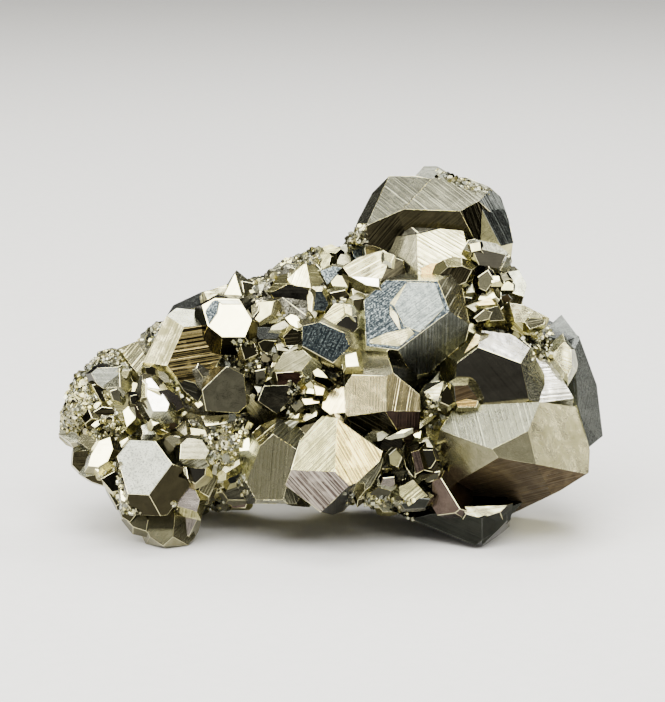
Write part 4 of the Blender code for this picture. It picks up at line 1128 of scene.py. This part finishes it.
def corners_of(planes):
    """The corners of the convex solid that planes bound, and each face as its corners' numbers in order."""
    normals = np.array([p.normal for p in planes])
    reach = np.einsum("ij,ij->i", normals, np.array([p.point for p in planes]))
    threes = np.array(list(itertools.combinations(range(len(planes)), 3)))
    threes = threes[np.abs(np.linalg.det(normals[threes])) > 1e-5]
    meets = np.linalg.solve(normals[threes], reach[threes][..., None])[..., 0]
    inside = (meets @ normals.T <= reach + MERGE / 100).all(axis=1)
    corners = []
    faces = [set() for _ in planes]
    for three, meet in zip(threes[inside], meets[inside]):
        near = [k for k, corner in enumerate(corners) if np.abs(meet - corner).max() < MERGE]
        if not near:
            near = [len(corners)]
            corners.append(meet)
        for i in three:
            faces[i].add(near[0])
    corners = np.array(corners)
    rings = []
    for plane, face in zip(planes, faces):
        on = np.array(sorted(face), dtype=int)
        if len(on) < 3:
            rings.append(())
            continue
        spread = corners[on] - corners[on].mean(axis=0)
        side = np.array(plane.normal.orthogonal().normalized())
        up = np.cross(plane.normal, side)
        rings.append(tuple(on[np.argsort(np.arctan2(spread @ up, spread @ side))]))
    return corners, rings


# The finishes of crystals whose bevelled edges are painted grey ash instead of the pale bright finish that
# paints a highlight along the edges of all others
UNHIGHLIGHTED_EDGE_FINISHES = ("night", "dusk", "ash", "brown")


def crystal_mesh(name, planes, edge_width, chance, seen):
    """The mesh of a crystal, with its edges bevelled and its faces stepped, and finished as far as seen."""
    shape = bmesh.new()
    face_of = shape.faces.layers.int.new("plane")
    across_of = shape.faces.layers.float_vector.new("across")
    striped_of = shape.faces.layers.float.new("striped")
    corners, faces = corners_of(planes)
    verts = [shape.verts.new(c) for c in corners]
    for i, face in enumerate(faces):
        if face:
            shape.faces.new([verts[k] for k in face])[face_of] = i
    if edge_width:
        bmesh.ops.bevel(shape, geom=shape.edges[:], offset=edge_width, segments=1, affect="EDGES",
                        clamp_overlap=True)
    usual = chance.choice(OTHER_FINISHES)
    names = list(FINISHES)
    spin = chance.uniform(0, 180)
    flats = [[] for _ in planes]
    # The bevelled edges get the pale bright finish, a painted highlight along each edge, or grey ash on
    # dark crystals
    edge_highlight_finish = "ash" if seen.get(0, (usual,))[0] in UNHIGHLIGHTED_EDGE_FINISHES else "bright"
    for face in shape.faces:
        face.material_index = names.index(edge_highlight_finish)
        if face.normal.dot(planes[face[face_of]].normal) > 0.9999:
            flats[face[face_of]].append(face)
    for i, (plane, flat) in enumerate(zip(planes, flats)):
        grain = chance.choice(("fine", "medium", "smooth"))
        if not flat:
            continue
        finish, grain, angle = seen.get(i) or seen.get("rest") or (usual, grain, spin + 60 * i)
        middle = flat[0].calc_center_median()
        along = in_picture(plane.normal, middle, angle)
        for face in flat:
            face.material_index = names.index(finish)
            face[across_of] = plane.normal.cross(along) / (STRIPES[grain][0] * MM)
            face[striped_of] = STRIPES[grain][1]
        if grain in STEPS and flat[0].calc_area() > LEAST_STEPPED:
            carve(flat[0], plane.normal, along, chance, grain)
    mesh = bpy.data.meshes.new(name)
    shape.to_mesh(mesh)
    shape.free()
    return mesh


def united(meshes):
    """One mesh of all the crystals grown together."""
    bodies = [bpy.data.objects.new(m.name, m) for m in meshes]
    others = bpy.data.collections.new("others")
    for body in bodies[1:]:
        others.objects.link(body)
    bpy.context.scene.collection.objects.link(bodies[0])
    change = bodies[0].modifiers.new("join", "BOOLEAN")
    change.operation = "UNION"
    change.solver = "MANIFOLD"
    change.operand_type = "COLLECTION"
    change.collection = others
    bpy.context.view_layer.update()
    graph = bpy.context.evaluated_depsgraph_get()
    mesh = bpy.data.meshes.new_from_object(bodies[0].evaluated_get(graph))
    for body in bodies:
        bpy.data.objects.remove(body)
    bpy.data.collections.remove(others)
    return mesh


class Specimen:
    """The bodies of the specimen and the shift that brings them over the origin, worked out once."""

    bodies = None
    shift = None

    @classmethod
    def load(cls):
        """Work them out if that isn't done, with the ground as the lowest face of each body."""
        if cls.bodies is None:
            level = Plane(Vector((0, 0, 0)), Vector((0, 0, -1)))
            cls.bodies = [(name, planes + [level]) for name, planes in all_bodies()]
            every = np.concatenate([corners_of(planes)[0] for _, planes in cls.bodies])
            middle = (every.min(axis=0) + every.max(axis=0)) / 2
            cls.shift = Vector((-middle[0], -middle[1], 0))
        return cls


# The grains: their least and greatest radius in millimetres, all over the base and in the patches of the
# picture where they stand thick, how much the small ones outnumber the large, and how far the centre of one
# lies from the surface, in radii
GRAIN_RADII = (0.25, 1.15)
PATCH_RADII = (0.18, 0.62)
GRAIN_SKEW = 1.4
GRAIN_SINK = (-0.65, 0.0)
# The shapes of the grains: how far from the centre the faces of a cube lie, those of a blunt cube and of
# its corners, and the radius of a pyritohedron, all in radii of the grain, and the share of the grains that
# each shape makes up
CUBE_REACH = 0.62
BLUNT_REACH = 0.66
BLUNT_CORNER_REACH = 0.88
TWELVE_REACH = 0.95
GRAIN_SHARES = (0.5, 0.2, 0.3)
# The patches: their corners in the picture, and how many grains are tried there
PATCHES = [
    ([(62, 372), (100, 345), (125, 352), (122, 372), (92, 372), (98, 385), (112, 391), (112, 402),
      (122, 425), (118, 440), (98, 440), (80, 430), (52, 440), (52, 410)], 1500),
    ([(98, 466), (120, 462), (124, 490), (130, 508), (140, 512), (148, 532), (118, 525), (95, 490)], 500),
    ([(172, 498), (178, 508), (178, 530), (196, 522), (195, 548), (176, 540)], 200),
    ([(200, 424), (245, 418), (250, 440), (225, 470), (210, 462), (206, 440)], 800),
    ([(288, 376), (322, 376), (322, 418), (288, 418)], 260),
    ([(532, 326), (552, 326), (552, 360), (532, 360)], 300),
    ([(262, 262), (280, 242), (345, 236), (345, 262), (300, 264)], 450),
    ([(425, 395), (450, 395), (440, 430), (425, 430)], 120),
    ([(345, 490), (415, 500), (415, 520), (345, 515)], 250),
    ([(222, 470), (245, 470), (250, 505), (205, 510)], 160),
    ([(232, 340), (262, 340), (262, 366), (246, 372)], 180),
    ([(436, 167), (460, 178), (492, 190), (490, 197), (455, 184), (436, 178)], 110),
    ([(345, 232), (366, 222), (368, 244), (350, 250)], 120),
]
# Where the picture shows no grains
CLEAR = [[(380, 205), (445, 205), (445, 235), (415, 245), (380, 240)],
         [(170, 345), (215, 330), (226, 352), (206, 380), (200, 390), (180, 378)],
         [(250, 300), (276, 299), (283, 316), (301, 318), (302, 346), (278, 348), (262, 356), (254, 340)],
         [(270, 292), (288, 284), (310, 288), (310, 314), (286, 316)]]
# The finishes of the grains, of which each is as likely as the next
GRAIN_FINISHES = ("champagne", "champagne", "silver", "frosted", "grey", "straw", "olive", "olive", "umber")


def grain_shapes():
    """The shapes of a small crystal, as corners and faces: a cube, a blunt cube and a pyritohedron."""
    sides = [Vector(w) for w in ((1, 0, 0), (-1, 0, 0), (0, 1, 0), (0, -1, 0), (0, 0, 1), (0, 0, -1))]
    blunt = [Vector((x, y, z)).normalized() for x in (-1, 1) for y in (-1, 1) for z in (-1, 1)]
    chance = random.Random(SEEDS["grain_shapes"])
    cube = [Plane(w * CUBE_REACH, w) for w in sides]
    dulled = [Plane(w * BLUNT_REACH, w) for w in sides] + [Plane(w * BLUNT_CORNER_REACH, w) for w in blunt]
    twelve = pyritohedron(Vector(), TWELVE_REACH, Matrix.Identity(3), chance)
    return [corners_of(planes) for planes in (cube, dulled, twelve)]


# How far out from the middle of an outline the specimen is looked for, and the finishes of the faces of a
# small crystal that aren't given
LOOK_SPREAD = 0.6
FLANK_FINISHES = ("champagne", "olive", "umber", "silver")


def nearness(tree, shift, outline):
    """How far in front of the picture plane the specimen is seen inside an outline, in millimetres."""
    middle = Vector((sum(x for x, _ in outline), sum(y for _, y in outline))) / len(outline)
    looks = [middle] + [middle.lerp(Vector(corner), LOOK_SPREAD) for corner in outline]
    hits = [tree.ray_cast(EYE + shift, ray(tuple(spot)))[0] for spot in looks]
    fronts = sorted((hit - shift - AIM).dot(TOWARD) / MM for hit in hits if hit)
    return fronts[len(fronts) // 2]


def gap_crystals(tree, shift, edge_width):
    """The meshes of the small crystals in the gaps, each set on what it is seen in front of."""
    chance = random.Random(SEEDS["gaps"])
    low, high = Vector(CAD_BOX[0]), Vector(CAD_BOX[1])
    meshes = []
    for k, (finish, grain, angle, lean, turn, outline, *known) in enumerate(SMALL):
        near, flank, *bends = known or (None, None)
        if near is None:
            near = nearness(tree, shift, outline) + STAND_OUT
        lean += chance.uniform(-LEAN_SPREAD, LEAN_SPREAD)
        turn += chance.uniform(-TURN_SPREAD, TURN_SPREAD)
        crystal = Crystal(f"gap_{k}", near, lean, turn, outline, dict(*bends))
        usual = chance.choice(FLANK_FINISHES)
        seen = {0: (finish, grain, angle), "rest": (flank or usual, "smooth", 40)}
        mesh = crystal_mesh(crystal.name, planes_of(crystal), edge_width, chance, seen)
        mesh.transform(Matrix.Translation(shift))
        for vert in mesh.vertices:
            for axis in range(3):
                vert.co[axis] = min(max(vert.co[axis], low[axis]), high[axis])
        meshes.append(mesh)
    return meshes + [layer_mesh(k, layer, tree, shift, edge_width) for k, layer in enumerate(LAYERS)]


def layer_mesh(number, layer, tree, shift, edge_width):
    """The mesh of a thin growth layer that lies on a crystal's main face."""
    host, finish, grain, angle, outline = layer
    base = next(c for c in CRYSTALS if c.name == host)
    middle = (sum(x for x, _ in outline) / len(outline), sum(y for _, y in outline) / len(outline))
    hit = tree.ray_cast(EYE + shift, ray(middle))[0]
    near = (hit - shift - AIM).dot(TOWARD) / MM + LAYER_HEIGHT
    crystal = Crystal(f"layer_{number}", near, base.lean, base.turn, outline, thick=LAYER_THICKNESS)
    seen = {"rest": (finish, grain, angle)}
    mesh = crystal_mesh(crystal.name, planes_of(crystal), edge_width, random.Random(number), seen)
    mesh.transform(Matrix.Translation(shift))
    return mesh


def gathered(meshes, name):
    """Several meshes as one, without joining their solids."""
    shape = bmesh.new()
    for mesh in meshes:
        shape.from_mesh(mesh)
    whole = bpy.data.meshes.new(name)
    shape.to_mesh(whole)
    shape.free()
    return whole


def seen_surface(mesh):
    """A tree of a mesh's faces that rays are cast on."""
    shape = bmesh.new()
    shape.from_mesh(mesh)
    tree = BVHTree.FromBMesh(shape)
    shape.free()
    return tree


def open_base(mesh, count, dice):
    """Points spread over the faces where the base is open, with the way that each looks."""
    mesh.calc_loop_triangles()
    tris = np.empty(len(mesh.loop_triangles) * 3, dtype=int)
    mesh.loop_triangles.foreach_get("vertices", tris)
    where = np.empty(len(mesh.vertices) * 3)
    mesh.vertices.foreach_get("co", where)
    corners = where.reshape(-1, 3)[tris.reshape(-1, 3)]
    kinds = np.empty(len(mesh.polygons), dtype=int)
    mesh.polygons.foreach_get("material_index", kinds)
    hosts = np.empty(len(mesh.loop_triangles), dtype=int)
    mesh.loop_triangles.foreach_get("polygon_index", hosts)
    crossed = np.cross(corners[:, 1] - corners[:, 0], corners[:, 2] - corners[:, 0])
    area = np.linalg.norm(crossed, axis=1)
    open_area = area * (kinds[hosts] == list(FINISHES).index("granular"))
    picked = dice.choice(len(area), size=count, p=open_area / open_area.sum())
    u, v = dice.random(count), dice.random(count)
    u, v = np.where(u + v > 1, 1 - u, u), np.where(u + v > 1, 1 - v, v)
    a, b, c = (corners[picked, i] for i in range(3))
    points = a + (b - a) * u[:, None] + (c - a) * v[:, None]
    return points, crossed[picked] / area[picked, None]


def patch_points(tree, shift, dice):
    """Points on the specimen that are seen in the patches of the picture, with the way that each looks."""
    points, ways = [], []
    for corners, count in PATCHES:
        xs, ys = [c[0] for c in corners], [c[1] for c in corners]
        found = 0
        while found < count:
            pixel = (dice.uniform(min(xs), max(xs)), dice.uniform(min(ys), max(ys)))
            if not within(corners, pixel):
                continue
            found += 1
            hit, way, _, _ = tree.ray_cast(EYE + shift, ray(pixel))
            if hit:
                points.append(hit)
                ways.append(way)
    return np.array(points), np.array(ways)


def is_clear(pixel):
    """Whether a pixel lies on one of the faces that have no grains."""
    return any(within(corners, pixel) for corners in CLEAR)


def grains_mesh(grounds, shift, dice):
    """One mesh of all the small crystals, each sunk part of the way into what it grows on."""
    shapes = grain_shapes()
    low, high = np.array(CAD_BOX[0]), np.array(CAD_BOX[1])
    verts, faces, kinds = [], [], []
    start = 0
    seats = [(radii, *seat) for radii, points, ways in grounds for seat in zip(points, ways)]
    for (least, most), point, way in seats:
        radius = least * (most / least) ** (dice.random() ** GRAIN_SKEW) * MM
        corners, rings = shapes[dice.choice(len(shapes), p=GRAIN_SHARES)]
        turn = Matrix(Quaternion(dice.normal(size=4)).normalized().to_matrix())
        place = point + way * radius * dice.uniform(*GRAIN_SINK)
        placed_corners = corners @ np.array(turn).T * radius + place
        outside = (placed_corners < low).any() or (placed_corners > high).any()
        if outside or is_clear(pixel_of(Vector(point) - shift)):
            continue
        verts.append(placed_corners)
        faces += [[start + k for k in ring] for ring in rings if ring]
        kinds += [dice.integers(len(GRAIN_FINISHES))] * sum(1 for ring in rings if ring)
        start += len(corners)
    mesh = bpy.data.meshes.new("grains")
    mesh.from_pydata(np.concatenate(verts), [], faces)
    mesh.polygons.foreach_set("material_index", kinds)
    return mesh


def placed(name, mesh):
    """Put a mesh in the scene as a piece that rides on the specimen's body."""
    piece = bpy.data.objects.new(name, mesh)
    bpy.context.scene.collection.objects.link(piece)
    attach(piece, BODY)
    return piece


class PyriteSettings(bpy.types.PropertyGroup):
    """The sizes and colours that a user would change."""

    edge_width: bpy.props.FloatProperty(
        name="Edge width", description="Width of the worn bevel along a crystal's edges",
        default=0.04 * MM, unit="LENGTH", precision=5)
    floor_size: bpy.props.FloatProperty(
        name="Floor size", description="Length of each side of the floor", default=3.0, unit="LENGTH")
    grain_count: bpy.props.IntProperty(
        name="Grains", description="How many small grains are tried on the base", default=3000)
    # The bright finish's colour: fresh, untarnished pyrite, and also the painted highlights along edges and
    # in pale slivers
    fresh_and_highlight_colour: bpy.props.FloatVectorProperty(
        name="Fresh pyrite", description="Colour of the brightest, untarnished faces",
        default=linear(FINISHES["bright"].light), subtype="COLOR", min=0.0, max=1.0)
    base_colour: bpy.props.FloatVectorProperty(
        name="Base", description="Colour of the granular base between the crystals",
        default=linear(FINISHES["granular"].light), subtype="COLOR", min=0.0, max=1.0)
    floor_colour: bpy.props.FloatVectorProperty(
        name="Floor", description="Colour of the paper that the specimen stands on",
        default=linear("#D9D7D1"), subtype="COLOR", min=0.0, max=1.0)


def finishes():
    """The pyrite finishes, made once."""
    settings = bpy.context.scene.pyrite
    chosen = {"bright": settings.fresh_and_highlight_colour, "granular": settings.base_colour}
    made = {}
    for name, finish in FINISHES.items():
        light = chosen.get(name, linear(finish.light))
        made[name] = bpy.data.materials.get(f"pyrite_{name}") or pyrite_material(name, finish, light)
    return made


class PYRITE_OT_crystals(bpy.types.Operator):
    """Build all the crystals, grown together"""

    bl_idname = "pyrite.crystals"
    bl_label = "Crystals"

    def execute(self, context):
        specimen = Specimen.load()
        width = context.scene.pyrite.edge_width
        chance = random.Random(SEEDS["crystals"])
        rough = {"rest": ("granular", "mirror", 0)}
        meshes = [crystal_mesh(name, planes, width, chance, rough if name in LUMPS else FACES.get(name, {}))
                  for name, planes in specimen.bodies]
        for mesh in meshes:
            for material in finishes().values():
                mesh.materials.append(material)
        mesh = united(meshes)
        mesh.name = "crystals"
        mesh.transform(Matrix.Translation(specimen.shift))
        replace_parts(placed("crystals", mesh), NODE)
        return {"FINISHED"}


class PYRITE_OT_gaps(bpy.types.Operator):
    """Set the small crystals in the gaps between the large ones"""

    bl_idname = "pyrite.gaps"
    bl_label = "Crystals in the gaps"

    def execute(self, context):
        specimen = Specimen.load()
        tree = seen_surface(bpy.data.objects["crystals"].data)
        mesh = gathered(gap_crystals(tree, specimen.shift, context.scene.pyrite.edge_width), "gap_crystals")
        for material in finishes().values():
            mesh.materials.append(material)
        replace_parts(placed("gap_crystals", mesh), NODE)
        return {"FINISHED"}


class PYRITE_OT_grains(bpy.types.Operator):
    """Cover the open base with small crystals"""

    bl_idname = "pyrite.grains"
    bl_label = "Small crystals"

    def execute(self, context):
        specimen = Specimen.load()
        host = bpy.data.objects["crystals"].data
        dice = np.random.default_rng(SEEDS["grains"])
        spread, ways = open_base(host, context.scene.pyrite.grain_count, dice)
        thick, thick_ways = patch_points(seen_surface(host), specimen.shift, dice)
        grounds = [(GRAIN_RADII, spread, ways), (PATCH_RADII, thick, thick_ways)]
        mesh = grains_mesh(grounds, specimen.shift, dice)
        for name in GRAIN_FINISHES:
            mesh.materials.append(finishes()[name])
        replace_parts(placed("grains", mesh), NODE)
        return {"FINISHED"}


class PYRITE_OT_stage(bpy.types.Operator):
    """Add the floor, the soft lights and the camera"""

    bl_idname = "pyrite.stage"
    bl_label = "Stage"

    def execute(self, context):
        specimen = Specimen.load()
        settings = context.scene.pyrite
        floor_mesh = bpy.data.meshes.new("floor")
        half = settings.floor_size / 2
        corners = [(-half, -half, 0), (half, -half, 0), (half, half, 0), (-half, half, 0)]
        floor_mesh.from_pydata(corners, [], [(0, 1, 2, 3)])
        floor_mesh.materials.append(paper(settings.floor_colour))
        floor = bpy.data.objects.new("floor", floor_mesh)
        context.scene.collection.objects.link(floor)
        for name, place, size, power in LIGHTS:
            data = bpy.data.lights.new(name, "AREA")
            data.shape = "RECTANGLE"
            data.size, data.size_y = size
            data.energy = power
            lamp = bpy.data.objects.new(name, data)
            lamp.location = place
            lamp.rotation_euler = (AIM - Vector(place)).to_track_quat("-Z", "Y").to_euler()
            context.scene.collection.objects.link(lamp)
        context.scene.world = studio()
        data = bpy.data.cameras.new("camera")
        data.sensor_width = SENSOR
        data.lens = SENSOR * EYE_DISTANCE / (max(PICTURE_SIZE) * PIXEL)
        data.clip_start = NEAREST_SEEN
        camera = bpy.data.objects.new("camera", data)
        camera.location = EYE + specimen.shift
        camera.rotation_euler = (-TOWARD).to_track_quat("-Z", "Y").to_euler()
        context.scene.collection.objects.link(camera)
        context.scene.camera = camera
        return {"FINISHED"}


OPERATORS = (PYRITE_OT_crystals, PYRITE_OT_gaps, PYRITE_OT_grains, PYRITE_OT_stage)


class PYRITE_PT_panel(bpy.types.Panel):
    """The specimen's pieces and the sizes that they are made from"""

    bl_idname = "PYRITE_PT_panel"
    bl_label = "Pyrite specimen"
    bl_space_type = "VIEW_3D"
    bl_region_type = "UI"
    bl_category = "Pyrite"

    def draw(self, context):
        settings = context.scene.pyrite
        for name in settings.__annotations__:
            self.layout.prop(settings, name)
        for operator in OPERATORS:
            self.layout.operator(operator.bl_idname)


CLASSES = (PyriteSettings,) + OPERATORS + (PYRITE_PT_panel,)


def register():
    """Make the specimen's classes known."""
    for kind in CLASSES:
        bpy.utils.register_class(kind)
    bpy.types.Scene.pyrite = bpy.props.PointerProperty(type=PyriteSettings)


def unregister():
    """Take the specimen's classes away."""
    del bpy.types.Scene.pyrite
    for kind in reversed(CLASSES):
        bpy.utils.unregister_class(kind)


def main():
    """Build the specimen and its studio."""
    register()
    bpy.ops.pyrite.crystals()
    bpy.ops.pyrite.gaps()
    bpy.ops.pyrite.grains()
    bpy.ops.pyrite.stage()
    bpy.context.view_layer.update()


if __name__ == "__main__":
    main()
